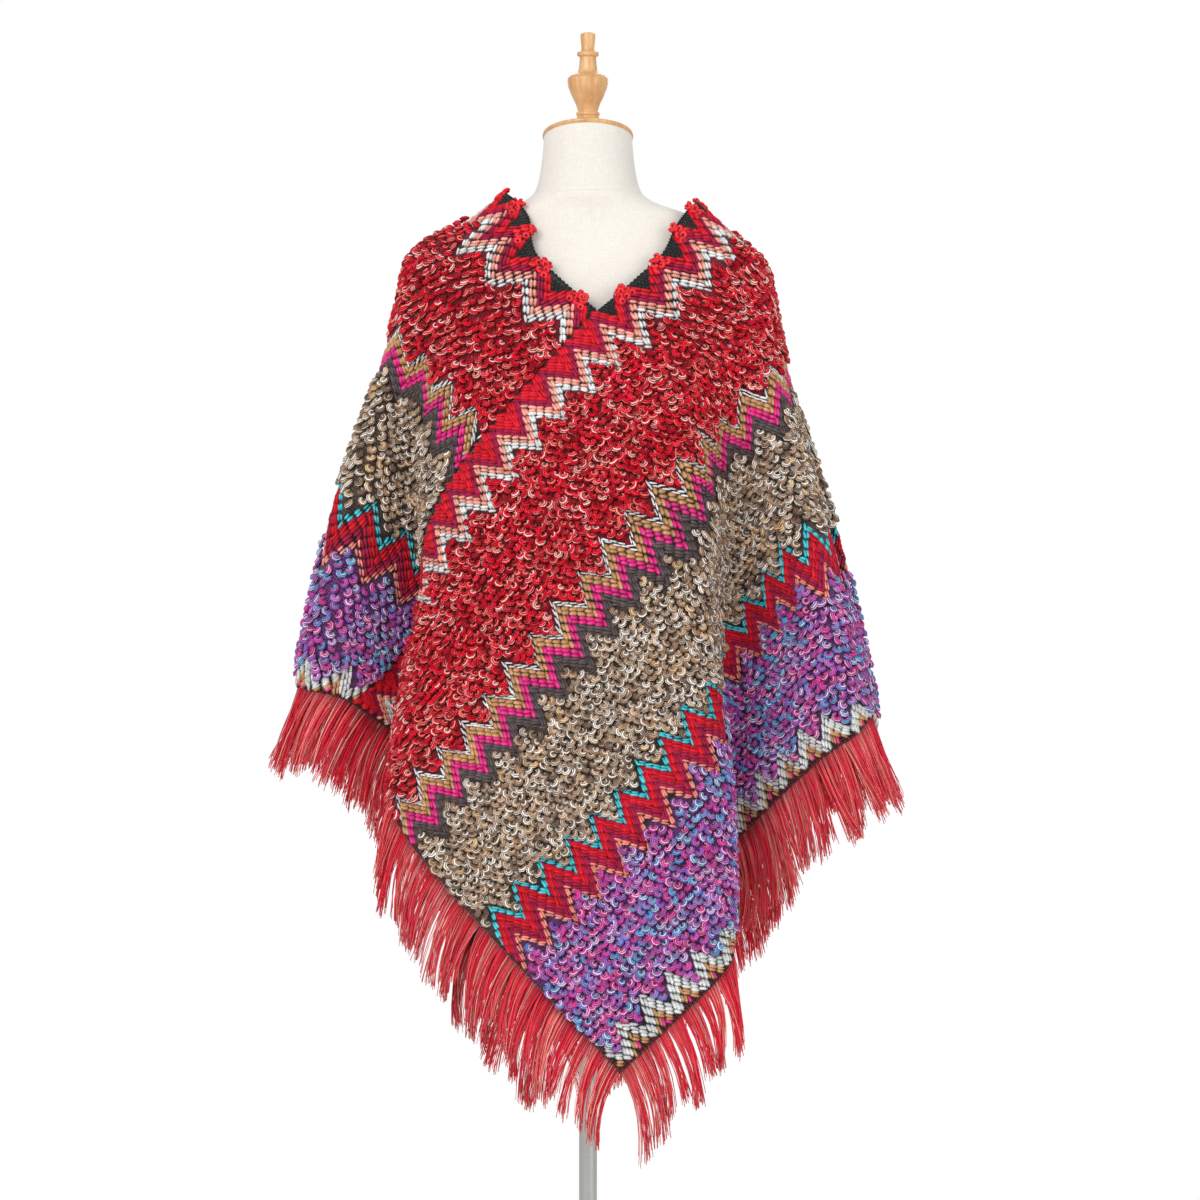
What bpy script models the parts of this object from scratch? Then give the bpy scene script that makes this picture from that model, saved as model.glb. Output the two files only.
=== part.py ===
"""Knitted two-panel poncho with fringed hems, worn on a limbless dress form.

The poncho is cut as two equal rectangles. The short end of each is sewn to
the upper long edge of the other, which leaves a V neck in front and behind.
The front panel covers the front centre and one shoulder, and the back panel
is the same panel turned half round the upright axis.

Cloth coordinates: s runs along a panel from its free short end, and t runs
across it from the fringed long hem to the neck edge. The draped surface is
built from level sections. Each section is a fair curve through a few named
points, and the cloth is laid on it by arc length, so it keeps its size.

Units are metres, Z is up, the wearer's front looks toward -Y, and the
underside of the stand's base is the plane Z = 0.
"""
import math

import bpy
import numpy as np

# Cut of the garment.
PANEL_WIDTH = 0.560
PANEL_LENGTH = 0.930
HALF_NECK_RUN = (PANEL_LENGTH - PANEL_WIDTH) / 2
SEAM_PARTING = 0.0007
FRINGE_PARTING = 0.0003

# Wall of the cloth, and how far the looped stripes stand out of it.
WALL_INNER = 0.0020
WALL_OUTER = 0.0020
LOOP_LIFT = 0.0030
LOOP_RAMP = 0.0060

# Stripes from the neck edge to the hem: name, width, looped, cells across.
STRIPES = (
    ("neck_zigzag", 0.058, False, 2),
    ("red_loops", 0.129, True, 4),
    ("camel_zigzag", 0.060, False, 2),
    ("taupe_loops", 0.105, True, 3),
    ("turquoise_zigzag", 0.064, False, 2),
    ("violet_loops", 0.106, True, 3),
    ("hem_zigzag", 0.043, False, 2),
)
CELLS_ALONG = (22, 9, 13)

# How the cloth hangs.
FRONT_POINT_HEIGHT = 1.300
SECTION_COLUMNS = (
    "height", "front_x", "front_y",
    "right_ridge_x", "right_ridge_y", "right_valley_x", "right_valley_y",
    "right_flank_x", "right_flank_y", "right_rim_x", "right_rim_y",
    "left_ridge_x", "left_ridge_y", "left_valley_x", "left_valley_y",
    "left_flank_x", "left_flank_y", "left_rim_x", "left_rim_y",
    "side_x", "side_y",
)
SECTION_ROWS = (
    (1.440, .010, -.030, .045, -.028, .064, -.022, .076, -.013, .080, -.007,
     .045, -.028, .064, -.022, .076, -.013, .080, -.007, .082, .000),
    (1.400, .010, -.050, .070, -.047, .100, -.037, .118, -.024, .126, -.012,
     .070, -.047, .100, -.037, .118, -.024, .126, -.012, .128, .000),
    (1.352, .010, -.071, .095, -.067, .140, -.052, .170, -.034, .183, -.016,
     .100, -.066, .142, -.050, .170, -.032, .183, -.014, .187, .000),
    (1.304, .010, -.091, .100, -.088, .148, -.070, .180, -.046, .193, -.022,
     .115, -.082, .162, -.056, .187, -.036, .196, -.018, .197, .000),
    (1.240, .013, -.114, .105, -.111, .152, -.078, .190, -.068, .208, -.034,
     .142, -.082, .180, -.048, .205, -.036, .213, -.016, .209, .002),
    (1.170, .015, -.134, .105, -.130, .153, -.066, .206, -.084, .226, -.050,
     .158, -.070, .184, -.030, .224, -.038, .236, -.016, .215, .000),
    (1.080, .018, -.148, .106, -.144, .154, -.052, .232, -.102, .252, -.068,
     .166, -.060, .178, -.014, .252, -.042, .266, -.014, .216, -.006),
    (0.990, .021, -.155, .110, -.150, .150, -.044, .258, -.114, .276, -.080,
     .174, -.056, .168, -.006, .273, -.044, .287, -.014, .218, -.010),
    (0.890, .024, -.158, .128, -.151, .144, -.048, .278, -.122, .296, -.088,
     .191, -.062, .180, -.008, .290, -.048, .305, -.018, .221, -.012),
    (0.770, .028, -.157, .142, -.150, .134, -.056, .286, -.126, .303, -.092,
     .206, -.072, .194, -.014, .295, -.052, .310, -.022, .223, -.014),
    (0.620, .031, -.152, .146, -.146, .130, -.062, .286, -.126, .303, -.092,
     .210, -.072, .196, -.014, .295, -.052, .310, -.022, .223, -.014),
    (0.440, .036, -.144, .146, -.139, .128, -.064, .286, -.126, .303, -.092,
     .210, -.072, .196, -.014, .295, -.052, .310, -.022, .223, -.014),
)
RIDGE_ROUNDNESS = 0.94

# Where the side line of a panel lies: distance from the neck edge, height.
SIDE_LINE_ROWS = (
    (0.000, 1.424),
    (0.100, 1.352),
    (0.187, 1.272),
    (0.247, 1.221),
    (0.352, 1.112),
    (0.460, 0.993),
    (0.560, 0.880),
)

# The left front sinks on the bias, and the right hem corner a little.
LEFT_SAG = 0.17
RIGHT_HEM_SAG = 0.90
TILT_AT_NECK = 0.048
TILT_AT_HEM = 0.075
NECK_SHIFT = 0.014

# Fringe.
LOCK_PITCH = 0.0185
LOCK_LENGTH = 0.085
LOCK_VARIATION = 0.012
LOCK_TIP = 0.20
STRIP_HEIGHT = 0.0045
LEAN_FROM_HEM = 0.60
LEAN_OUTWARD = 0.50

# Dress form. The top of its neck leans back, so that its front edge is higher.
NECK_LEAN = 0.25
NECK_LEAN_FROM = 1.452
NECK_TOP = 1.486
FINIAL_LEVEL_FROM = 1.506
RING_SIDES = 32
TORSO_COLUMNS = ("height", "half_width", "half_depth", "centre_y")
TORSO_ROWS = (
    (1.486, .0440, .0440, .000),
    (1.470, .0475, .0470, .000),
    (1.450, .0510, .0500, .000),
    (1.432, .0560, .0520, .000),
    (1.424, .0640, .0520, .000),
    (1.417, .0780, .0500, .000),
    (1.409, .1024, .0480, .000),
    (1.399, .1224, .0480, .000),
    (1.385, .1434, .0510, .000),
    (1.368, .1612, .0570, .000),
    (1.346, .1700, .0650, .000),
    (1.320, .1770, .0720, .000),
    (1.280, .1760, .0820, .000),
    (1.240, .1660, .0900, .000),
    (1.190, .1540, .0970, .000),
    (1.140, .1420, .0940, .000),
    (1.080, .1320, .0860, .000),
    (1.020, .1290, .0840, .002),
    (0.960, .1340, .0900, .004),
    (0.900, .1400, .0980, .004),
    (0.850, .1430, .1020, .004),
    (0.812, .1420, .1010, .004),
    (0.800, .1380, .0970, .004),
)
CAP_ROWS = (
    (0.0455, 1.4868),
    (0.0485, 1.4885),
    (0.0485, 1.4915),
    (0.0465, 1.4935),
    (0.0190, 1.4950),
)
FINIAL_ROWS = (
    (0.0138, 1.4956),
    (0.0130, 1.5060),
    (0.0130, 1.5088),
    (0.0118, 1.5096),
    (0.0118, 1.5120),
    (0.0126, 1.5130),
    (0.0126, 1.5152),
    (0.0108, 1.5168),
    (0.0124, 1.5230),
    (0.0178, 1.5345),
    (0.0212, 1.5440),
    (0.0218, 1.5500),
    (0.0196, 1.5540),
    (0.0150, 1.5562),
    (0.0104, 1.5600),
    (0.0092, 1.5680),
    (0.0088, 1.5740),
    (0.0116, 1.5760),
    (0.0116, 1.5790),
    (0.0080, 1.5806),
    (0.0070, 1.5840),
    (0.0080, 1.5950),
    (0.0080, 1.5985),
    (0.0060, 1.6000),
)
POLE_RADIUS = 0.0095
POLE_BOTTOM = 0.0166
POLE_TOP = 0.7994
BASE_ROWS = (
    (0.1500, 0.0000),
    (0.1500, 0.0050),
    (0.1470, 0.0080),
    (0.0300, 0.0120),
    (0.0160, 0.0160),
)

MATERIALS = {
    "boucle_knit": ((0.62, 0.10, 0.13, 1.0), 0.0, 0.95),
    "fringe_yarn": ((0.78, 0.16, 0.17, 1.0), 0.0, 0.90),
    "form_linen": ((0.86, 0.82, 0.74, 1.0), 0.0, 0.85),
    "turned_wood": ((0.72, 0.46, 0.23, 1.0), 0.0, 0.45),
    "stand_steel": ((0.60, 0.60, 0.58, 1.0), 1.0, 0.28),
}


def clear_scene():
    """Remove every object the scene opens with."""
    for obj in list(bpy.data.objects):
        bpy.data.objects.remove(obj, do_unlink=True)


def smooth_step(value):
    """Rise from 0 to 1 with level ends as value goes from 0 to 1."""
    u = np.clip(value, 0.0, 1.0)
    return u * u * (3.0 - 2.0 * u)


def fair_curve(x, knots, values):
    """Monotone cubic through (knots, values), read at x."""
    x = np.clip(x, knots[0], knots[-1])
    step = np.diff(knots)
    rise = np.diff(values) / step
    slope = np.zeros(len(knots))
    slope[0] = rise[0]
    slope[-1] = rise[-1]
    for i in range(1, len(knots) - 1):
        if rise[i - 1] * rise[i] > 0.0:
            near = 2.0 * step[i] + step[i - 1]
            far = step[i] + 2.0 * step[i - 1]
            slope[i] = (near + far) / (near / rise[i - 1] + far / rise[i])
    i = np.clip(np.searchsorted(knots, x) - 1, 0, len(knots) - 2)
    u = (x - knots[i]) / step[i]
    return blend(u, values[i], values[i + 1], slope[i] * step[i], slope[i + 1] * step[i])


def blend(u, start, end, start_slope, end_slope):
    """Cubic from start to end with the given end slopes, u from 0 to 1."""
    u2 = u * u
    u3 = u2 * u
    return ((2 * u3 - 3 * u2 + 1) * start + (u3 - 2 * u2 + u) * start_slope
            + (3 * u2 - 2 * u3) * end + (u3 - u2) * end_slope)


class Sections:
    """Level sections of the hanging cloth from the front centre to the side.

    For each height and side the curve passes the front centre, ridge, valley,
    flank, rim and side points. It is stored at even steps of arc length.
    """

    HEIGHTS = np.linspace(0.44, 1.44, 141)
    STEPS = 201

    def __init__(self):
        rows = np.array(SECTION_ROWS)[::-1]
        knots = rows[:, 0]
        self.column = {}
        for k, name in enumerate(SECTION_COLUMNS):
            self.column[name] = fair_curve(self.HEIGHTS, knots, rows[:, k])
        self.table = {1: self.side_table("right", 1), -1: self.side_table("left", -1)}

    def side_table(self, side, sign):
        """Positions along one side's sections, and the arc length of each."""
        col = self.column
        names = ("ridge", "valley", "flank", "rim")
        px = [col["front_x"] * sign] + [col["%s_%s_x" % (side, n)] for n in names]
        py = [col["front_y"]] + [col["%s_%s_y" % (side, n)] for n in names]
        px.append(col["side_x"])
        py.append(col["side_y"] * sign)
        points = np.stack([np.stack(px, 1), np.stack(py, 1)], -1)
        chord = np.linalg.norm(np.diff(points, axis=1), axis=-1)
        tangent = np.zeros_like(points)
        last = points.shape[1] - 1
        for i in range(1, last):
            before = (points[:, i] - points[:, i - 1]) / chord[:, i - 1, None]
            after = (points[:, i + 1] - points[:, i]) / chord[:, i, None]
            mean = before * chord[:, i, None] + after * chord[:, i - 1, None]
            size = np.linalg.norm(mean, axis=-1, keepdims=True)
            tangent[:, i] = mean / np.maximum(size, 1e-6) * RIDGE_ROUNDNESS
        tangent[:, 0] = (1.0, 0.0)
        tangent[:, last] = (0.0, 1.0)
        pieces = []
        for i in range(last):
            u = np.linspace(0.0, 1.0, 50, endpoint=(i == last - 1))[None, :, None]
            c = chord[:, i, None, None]
            pieces.append(blend(u, points[:, i, None], points[:, i + 1, None],
                                c * tangent[:, i, None], c * tangent[:, i + 1, None]))
        curve = np.concatenate(pieces, 1)
        run = np.cumsum(np.linalg.norm(np.diff(curve, axis=1), axis=-1), 1)
        arc = np.concatenate([np.zeros((len(run), 1)), run], 1)
        even = np.linspace(0.0, 1.0, self.STEPS)
        xs = np.stack([np.interp(even * a[-1], a, c[:, 0]) for a, c in zip(arc, curve)])
        ys = np.stack([np.interp(even * a[-1], a, c[:, 1]) for a, c in zip(arc, curve)])
        return xs, ys, arc[:, -1]

    def girth(self, height, side):
        """Arc length from the front centre to the side line at a height."""
        return np.interp(height, self.HEIGHTS, self.table[side][2])

    def point(self, run, height, side):
        """Plan position at an arc length from the front centre."""
        xs, ys, _ = self.table[side]
        row = (height - self.HEIGHTS[0]) / (self.HEIGHTS[1] - self.HEIGHTS[0])
        row = np.clip(row, 0.0, len(self.HEIGHTS) - 1.001)
        share = np.clip(run / self.girth(height, side), 0.0, 1.0)
        place = np.clip(share * (self.STEPS - 1), 0.0, self.STEPS - 1.001)
        i = row.astype(int)
        j = place.astype(int)
        a = row - i
        b = place - j
        read = []
        for grid in (xs, ys):
            low = grid[i, j] * (1 - b) + grid[i, j + 1] * b
            high = grid[i + 1, j] * (1 - b) + grid[i + 1, j + 1] * b
            read.append(low * (1 - a) + high * a)
        return side * read[0], read[1]


class Drape:
    """The worn position of every point of a panel."""

    DIAGONAL = math.sqrt(0.5)

    def __init__(self):
        self.sections = Sections()
        heights = np.linspace(FRONT_POINT_HEIGHT, 0.45, 400)
        front_y = np.interp(heights, Sections.HEIGHTS, self.sections.column["front_y"])
        steps = np.hypot(np.diff(heights), np.diff(front_y))
        self.front_run = np.concatenate([[0.0], np.cumsum(steps)])
        self.front_heights = heights
        self.side_line = np.array(SIDE_LINE_ROWS)

    def fan_height(self, across, down, side):
        """Height where the panel's corner square hangs below the V."""
        height = np.interp(down, self.front_run, self.front_heights)
        if side > 0:
            return height - RIGHT_HEM_SAG * np.maximum(across - 0.24, 0.0) ** 2
        fade = 1.0 - smooth_step((down - 0.30) / 0.24)
        return height - LEFT_SAG * across ** 2 / (across + 0.03) * fade

    def fan(self, s, t):
        """Corner square of the front panel, both sides of the front centre."""
        across = (s - t) * self.DIAGONAL
        down = (2 * PANEL_WIDTH - s - t) * self.DIAGONAL
        out = []
        for side in (1, -1):
            height = self.fan_height(np.abs(across), down, side)
            x, y = self.sections.point(np.abs(across), height, side)
            out.append(np.stack([x, y, height], -1))
        return np.where((across >= 0.0)[..., None], out[0], out[1])

    def strip(self, p, d, side):
        """Band over the shoulder, p from the square's edge, d from the neck."""
        run = d * self.DIAGONAL
        start = self.fan_height(run, run, side)
        step = 0.0015
        inside = np.maximum(run, 2.0 * step)
        rise = self.fan_height(inside + step, inside - step, side)
        rise = rise - self.fan_height(inside, inside, side)
        slope = rise / step * self.DIAGONAL * 0.9
        line = self.side_line
        end = fair_curve(d, line[:, 0], line[:, 1])
        u = p / HALF_NECK_RUN
        height = blend(u, start, end, slope * HALF_NECK_RUN, 0.0)
        girth = self.sections.girth(start, side)
        ahead = self.sections.girth(start + 0.002, side)
        behind = self.sections.girth(start - 0.002, side)
        change = (ahead - behind) / 0.004
        rate = self.DIAGONAL - change * slope
        lag = blend(u, run - girth, 0.0, rate * HALF_NECK_RUN, 0.8 * HALF_NECK_RUN)
        reach = self.sections.girth(height, side) + np.minimum(lag, 0.0)
        x, y = self.sections.point(np.maximum(reach, 0.0), height, side)
        return np.stack([x, y, height], -1)

    def settle(self, place):
        """Tilt the worn cloth a little and slide its neck toward +X."""
        x, y, z = place[..., 0], place[..., 1], place[..., 2]
        high = smooth_step((z - 1.12) / 0.24)
        tilt = TILT_AT_HEM + (TILT_AT_NECK - TILT_AT_HEM) * high
        moved = x + NECK_SHIFT * smooth_step((z - 1.34) / 0.07)
        return np.stack([moved, y, z - tilt * x], -1)

    def panel(self, s, t, turned=False):
        """Worn position of cloth point (s, t), turned for the back panel."""
        s = np.asarray(s, float)
        t = np.asarray(t, float)
        d = PANEL_WIDTH - t
        square = self.fan(np.minimum(s, PANEL_WIDTH), t)
        near = self.strip(np.clip(s - PANEL_WIDTH, 0.0, HALF_NECK_RUN), d, 1)
        far = self.strip(np.clip(PANEL_LENGTH - s, 0.0, HALF_NECK_RUN), d, -1)
        far = far * np.array([-1.0, -1.0, 1.0])
        past_side = (s > PANEL_WIDTH + HALF_NECK_RUN)[..., None]
        place = np.where((s <= PANEL_WIDTH)[..., None], square, np.where(past_side, far, near))
        if turned:
            place = place * np.array([-1.0, -1.0, 1.0])
        return self.settle(place)

    def frame(self, s, t, turned=False):
        """Position, outward normal, and the s and t directions at (s, t)."""
        e = 0.004
        s0 = np.clip(s - e, 0.0, PANEL_LENGTH)
        s1 = np.clip(s + e, 0.0, PANEL_LENGTH)
        t0 = np.clip(t - e, 0.0, PANEL_WIDTH)
        t1 = np.clip(t + e, 0.0, PANEL_WIDTH)
        along = self.panel(s1, t, turned) - self.panel(s0, t, turned)
        across = self.panel(s, t1, turned) - self.panel(s, t0, turned)
        along = along / np.linalg.norm(along, axis=-1, keepdims=True)
        across = across / np.linalg.norm(across, axis=-1, keepdims=True)
        normal = np.cross(along, across)
        normal = normal / np.linalg.norm(normal, axis=-1, keepdims=True)
        return self.panel(s, t, turned), normal, along, across


def cloth_rows():
    """Stations across the panel from hem to neck, and the lift at each."""
    total = sum(row[1] for row in STRIPES)
    stations = [0.0]
    lifts = [0.0]
    for name, width, looped, cells in reversed(STRIPES):
        width = width * PANEL_WIDTH / total
        start = stations[-1]
        if looped:
            inner = np.linspace(start + LOOP_RAMP, start + width - LOOP_RAMP, cells + 1)
            stations.extend(inner.tolist() + [start + width])
            lifts.extend([LOOP_LIFT] * (cells + 1) + [0.0])
        else:
            inner = np.linspace(start, start + width, cells + 1)[1:]
            stations.extend(inner.tolist())
            lifts.extend([0.0] * cells)
    stations[-1] = PANEL_WIDTH - SEAM_PARTING
    return np.array(stations), np.array(lifts)


def cloth_columns():
    """Stations along the panel: corner square, near shoulder, far shoulder."""
    side = PANEL_WIDTH + HALF_NECK_RUN
    square = np.linspace(0.0, PANEL_WIDTH, CELLS_ALONG[0] + 1)
    near = np.linspace(PANEL_WIDTH, side, CELLS_ALONG[1] + 1)
    far = np.linspace(side, PANEL_LENGTH - SEAM_PARTING, CELLS_ALONG[2] + 1)
    return np.concatenate([square, near[1:], far[1:]])


def grid_faces(rows, cols, offset, flip):
    """Quads of a rows by cols grid, split along the falling folds."""
    faces = []
    for i in range(rows - 1):
        for j in range(cols - 1):
            a = offset + i * cols + j
            b = a + cols
            if flip:
                faces.append((a, a + 1, b + 1))
                faces.append((a, b + 1, b))
            else:
                faces.append((a, b + 1, a + 1))
                faces.append((a, b, b + 1))
    return faces


def panel_mesh(drape, turned):
    """Closed wall of one panel, from its outer and inner surfaces."""
    across, lift = cloth_rows()
    s, t = np.meshgrid(cloth_columns(), across, indexing="ij")
    place, normal, _, _ = drape.frame(s, t, turned)
    outer = place + normal * (WALL_OUTER + lift)[None, :, None]
    inner = place - normal * WALL_INNER
    rows, cols = s.shape
    verts = np.concatenate([outer.reshape(-1, 3), inner.reshape(-1, 3)])
    count = rows * cols
    faces = grid_faces(rows, cols, 0, False) + grid_faces(rows, cols, count, True)
    rim = [j for j in range(cols)]
    rim += [i * cols + cols - 1 for i in range(1, rows)]
    rim += [(rows - 1) * cols + j for j in range(cols - 2, -1, -1)]
    rim += [i * cols for i in range(rows - 2, 0, -1)]
    for k in range(len(rim)):
        a = rim[k]
        b = rim[(k + 1) % len(rim)]
        faces.append((a, b, b + count))
        faces.append((a, b + count, a + count))
    return verts, faces


def noise(index, seed):
    """Repeatable values from 0 to 1 for an array of whole numbers."""
    value = np.sin(index * 12.9898 + seed * 78.233) * 43758.5453
    return value - np.floor(value)


def hem_stations(short_end):
    """Places along a hem that bound its locks, and which gaps hold a lock.

    The cells of the panel's own edge are kept, so strip and edge run parallel.
    """
    if short_end:
        cells = cloth_rows()[0]
    else:
        cells = cloth_columns()
    stations = [cells[0]]
    holds_lock = []
    for start, end in zip(cells[:-1], cells[1:]):
        count = int(round((end - start) / LOCK_PITCH))
        pitch = (end - start) / max(count, 1)
        for k in range(count):
            stations.append(start + (k + 0.26) * pitch)
            stations.append(start + (k + 0.74) * pitch)
            holds_lock.extend([False, True])
        stations.append(end)
        holds_lock.append(False)
    return cells, np.array(stations), holds_lock


def hem_path(drape, turned, short_end, cells, stations):
    """Edge point, wall normal and outward direction along one hem."""
    zero = np.zeros_like(cells)
    if short_end:
        place, normal, along, _ = drape.frame(zero, cells, turned)
        outward = -along
    else:
        place, normal, _, across = drape.frame(cells, zero, turned)
        outward = -across
    read = []
    for values in (place, normal, outward):
        read.append(np.stack([np.interp(stations, cells, values[:, k]) for k in range(3)], 1))
    return read


def fringe_mesh(drape, turned, short_end, seed):
    """A narrow strip below one hem with tapered locks drawn out of it."""
    cells, stations, holds_lock = hem_stations(short_end)
    place, normal, outward = hem_path(drape, turned, short_end, cells, stations)
    place[0] = place[0] * 0.93 + place[1] * 0.07
    hang = np.array([0.0, 0.0, -1.0]) + LEAN_FROM_HEM * outward
    reach = np.clip(np.abs(place[:, 0]) / 0.30, 0.0, 1.0) ** 3 * np.sign(place[:, 0])
    hang[:, 0] += LEAN_OUTWARD * reach
    window = 4
    padded = np.concatenate([hang[:1].repeat(window, 0), hang, hang[-1:].repeat(window, 0)])
    hang = sum(padded[k:k + len(hang)] for k in range(2 * window + 1))
    hang = hang / np.linalg.norm(hang, axis=-1, keepdims=True)
    half = WALL_INNER * 0.9
    turn = np.linalg.norm(np.diff(normal, axis=0), axis=1)
    turn = np.maximum(np.append(turn, 0.0), np.insert(turn, 0, 0.0))
    near = sum(np.roll(turn, k) for k in range(-3, 4))
    parting = (FRINGE_PARTING + WALL_INNER * near)[:, None]
    top = place + outward * parting
    low = top + outward * STRIP_HEIGHT
    rings = np.stack([top + normal * half, top - normal * half,
                      low - normal * half, low + normal * half], 1)
    verts = rings.reshape(-1, 3).tolist()
    faces = [(0, 3, 2, 1)]
    number = 0
    for k, is_lock in enumerate(holds_lock):
        a = 4 * k
        b = a + 4
        faces.append((a, a + 1, b + 1, b))
        faces.append((a + 1, a + 2, b + 2, b + 1))
        faces.append((a + 3, a, b, b + 3))
        if not is_lock:
            faces.append((a + 2, a + 3, b + 3, b + 2))
            continue
        number += 1
        size = LOCK_LENGTH + LOCK_VARIATION * (2.0 * noise(number, seed) - 1.0)
        sway = 0.05 * (2.0 * noise(number, seed + 3) - 1.0)
        loop = (a + 2, a + 3, b + 3, b + 2)
        root = np.array([verts[i] for i in loop])
        centre = root.mean(0)
        along = (place[k + 1] - place[k]) / np.linalg.norm(place[k + 1] - place[k])
        tip = centre + (hang[k] + along * sway) * size
        first = len(verts)
        verts.extend(((root - centre) * LOCK_TIP + tip).tolist())
        for i in range(4):
            j = (i + 1) % 4
            faces.append((loop[i], loop[j], first + j, first + i))
        faces.append((first, first + 1, first + 2, first + 3))
    last = 4 * len(holds_lock)
    faces.append((last, last + 1, last + 2, last + 3))
    if not short_end:
        faces = [face[::-1] for face in faces]
    return np.array(verts), faces


def ring(half_width, half_depth, centre_x, centre_y, height, sides):
    """One level ring of the dress form."""
    angle = np.arange(sides) * (2.0 * math.pi / sides)
    x = centre_x + half_width * np.cos(angle)
    y = centre_y + half_depth * np.sin(angle)
    return np.stack([x, y, np.full(sides, height)], 1)


def loft_mesh(rings):
    """Closed solid through rings ordered upward, capped at both ends."""
    sides = len(rings[0])
    verts = np.concatenate(rings)
    faces = []
    for k in range(len(rings) - 1):
        for j in range(sides):
            a = k * sides + j
            b = k * sides + (j + 1) % sides
            faces.append((a, b, b + sides, a + sides))
    base = len(verts)
    low = rings[0].mean(0)
    high = rings[-1].mean(0)
    verts = np.concatenate([verts, [low], [high]])
    top = (len(rings) - 1) * sides
    for j in range(sides):
        n = (j + 1) % sides
        faces.append((base, n, j))
        faces.append((base + 1, top + j, top + n))
    return verts, faces


def neck_lean(height):
    """Slope of the neck's level lines, from none low down to the full lean."""
    rise = smooth_step((height - NECK_LEAN_FROM) / (NECK_TOP - NECK_LEAN_FROM))
    return NECK_LEAN * float(rise)


def lean_back(points, slope):
    """Tip a ring so that its front rises by the slope."""
    points[:, 2] -= slope * points[:, 1]
    return points


def turned_mesh(rows, sides):
    """Solid of revolution from rows of radius and height, ordered upward."""
    return loft_mesh([ring(r, r, 0.0, 0.0, z, sides) for r, z in rows])


def cap_mesh():
    """Wooden disc that lies on the leaning top of the neck."""
    rings = [ring(r, r, 0.0, 0.0, z, RING_SIDES) for r, z in CAP_ROWS]
    return loft_mesh([lean_back(points, NECK_LEAN) for points in rings])


def finial_mesh():
    """Turned finial, with the foot cut to the slope of the cap."""
    rings = []
    for r, z in FINIAL_ROWS:
        slope = NECK_LEAN if z < FINIAL_LEVEL_FROM else 0.0
        rings.append(lean_back(ring(r, r, 0.0, 0.0, z, 16), slope))
    return loft_mesh(rings)


def torso_mesh():
    """Closed limbless torso from the hip line to the neck."""
    rows = np.array(TORSO_ROWS)[::-1]
    heights = np.concatenate([np.linspace(0.800, 0.812, 2), np.linspace(0.850, 1.270, 9),
                              np.linspace(1.310, 1.430, 11), np.linspace(1.450, 1.486, 3)])
    table = [fair_curve(heights, rows[:, 0], rows[:, k]) for k in range(1, 4)]
    rings = []
    for z, w, d, cy in zip(heights, *table):
        rings.append(lean_back(ring(w, d, 0.0, cy, z, RING_SIDES), neck_lean(z)))
    return loft_mesh(rings)


def make_material(name):
    """Simple surface for one kind of part."""
    color, metallic, roughness = MATERIALS[name]
    material = bpy.data.materials.new(name)
    material.use_nodes = True
    shader = material.node_tree.nodes["Principled BSDF"]
    shader.inputs["Base Color"].default_value = color
    shader.inputs["Metallic"].default_value = metallic
    shader.inputs["Roughness"].default_value = roughness
    material.diffuse_color = color
    return material


def add_object(name, shape, material_name, smooth):
    """Put one closed mesh in the scene as its own named object."""
    verts, faces = shape
    mesh = bpy.data.meshes.new(name)
    mesh.from_pydata([tuple(v) for v in np.asarray(verts).tolist()], [], faces)
    mesh.update()
    mesh.polygons.foreach_set("use_smooth", [smooth] * len(mesh.polygons))
    obj = bpy.data.objects.new(name, mesh)
    bpy.context.scene.collection.objects.link(obj)
    material = make_material(material_name)
    material.name = name + "_" + material_name
    mesh.materials.append(material)
    return obj


def build():
    """Make every part of the poncho and its dress form."""
    clear_scene()
    drape = Drape()
    add_object("front_panel", panel_mesh(drape, False), "boucle_knit", True)
    add_object("back_panel", panel_mesh(drape, True), "boucle_knit", True)
    add_object("fringe_front_long", fringe_mesh(drape, False, False, 1), "fringe_yarn", False)
    add_object("fringe_front_end", fringe_mesh(drape, False, True, 2), "fringe_yarn", False)
    add_object("fringe_back_long", fringe_mesh(drape, True, False, 3), "fringe_yarn", False)
    add_object("fringe_back_end", fringe_mesh(drape, True, True, 4), "fringe_yarn", False)
    add_object("torso", torso_mesh(), "form_linen", True)
    add_object("neck_cap", cap_mesh(), "turned_wood", True)
    add_object("finial", finial_mesh(), "turned_wood", True)
    add_object("pole", turned_mesh(((POLE_RADIUS, POLE_BOTTOM), (POLE_RADIUS, POLE_TOP)), 16),
               "stand_steel", True)
    add_object("base_plate", turned_mesh(BASE_ROWS, RING_SIDES), "stand_steel", True)


build()
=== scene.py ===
"""Looks of a knitted poncho with looped stripes, zigzags and fringe on a dress form.

The cloth is cut as two equal rectangles. The short end of each is sewn to the
upper long edge of the other. s runs along a panel from its free short end and t
runs across it from the fringed long hem to the neck edge, both in metres.
Every knitted piece is placed through the same drape that shapes the solids.
"""
import math

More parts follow.
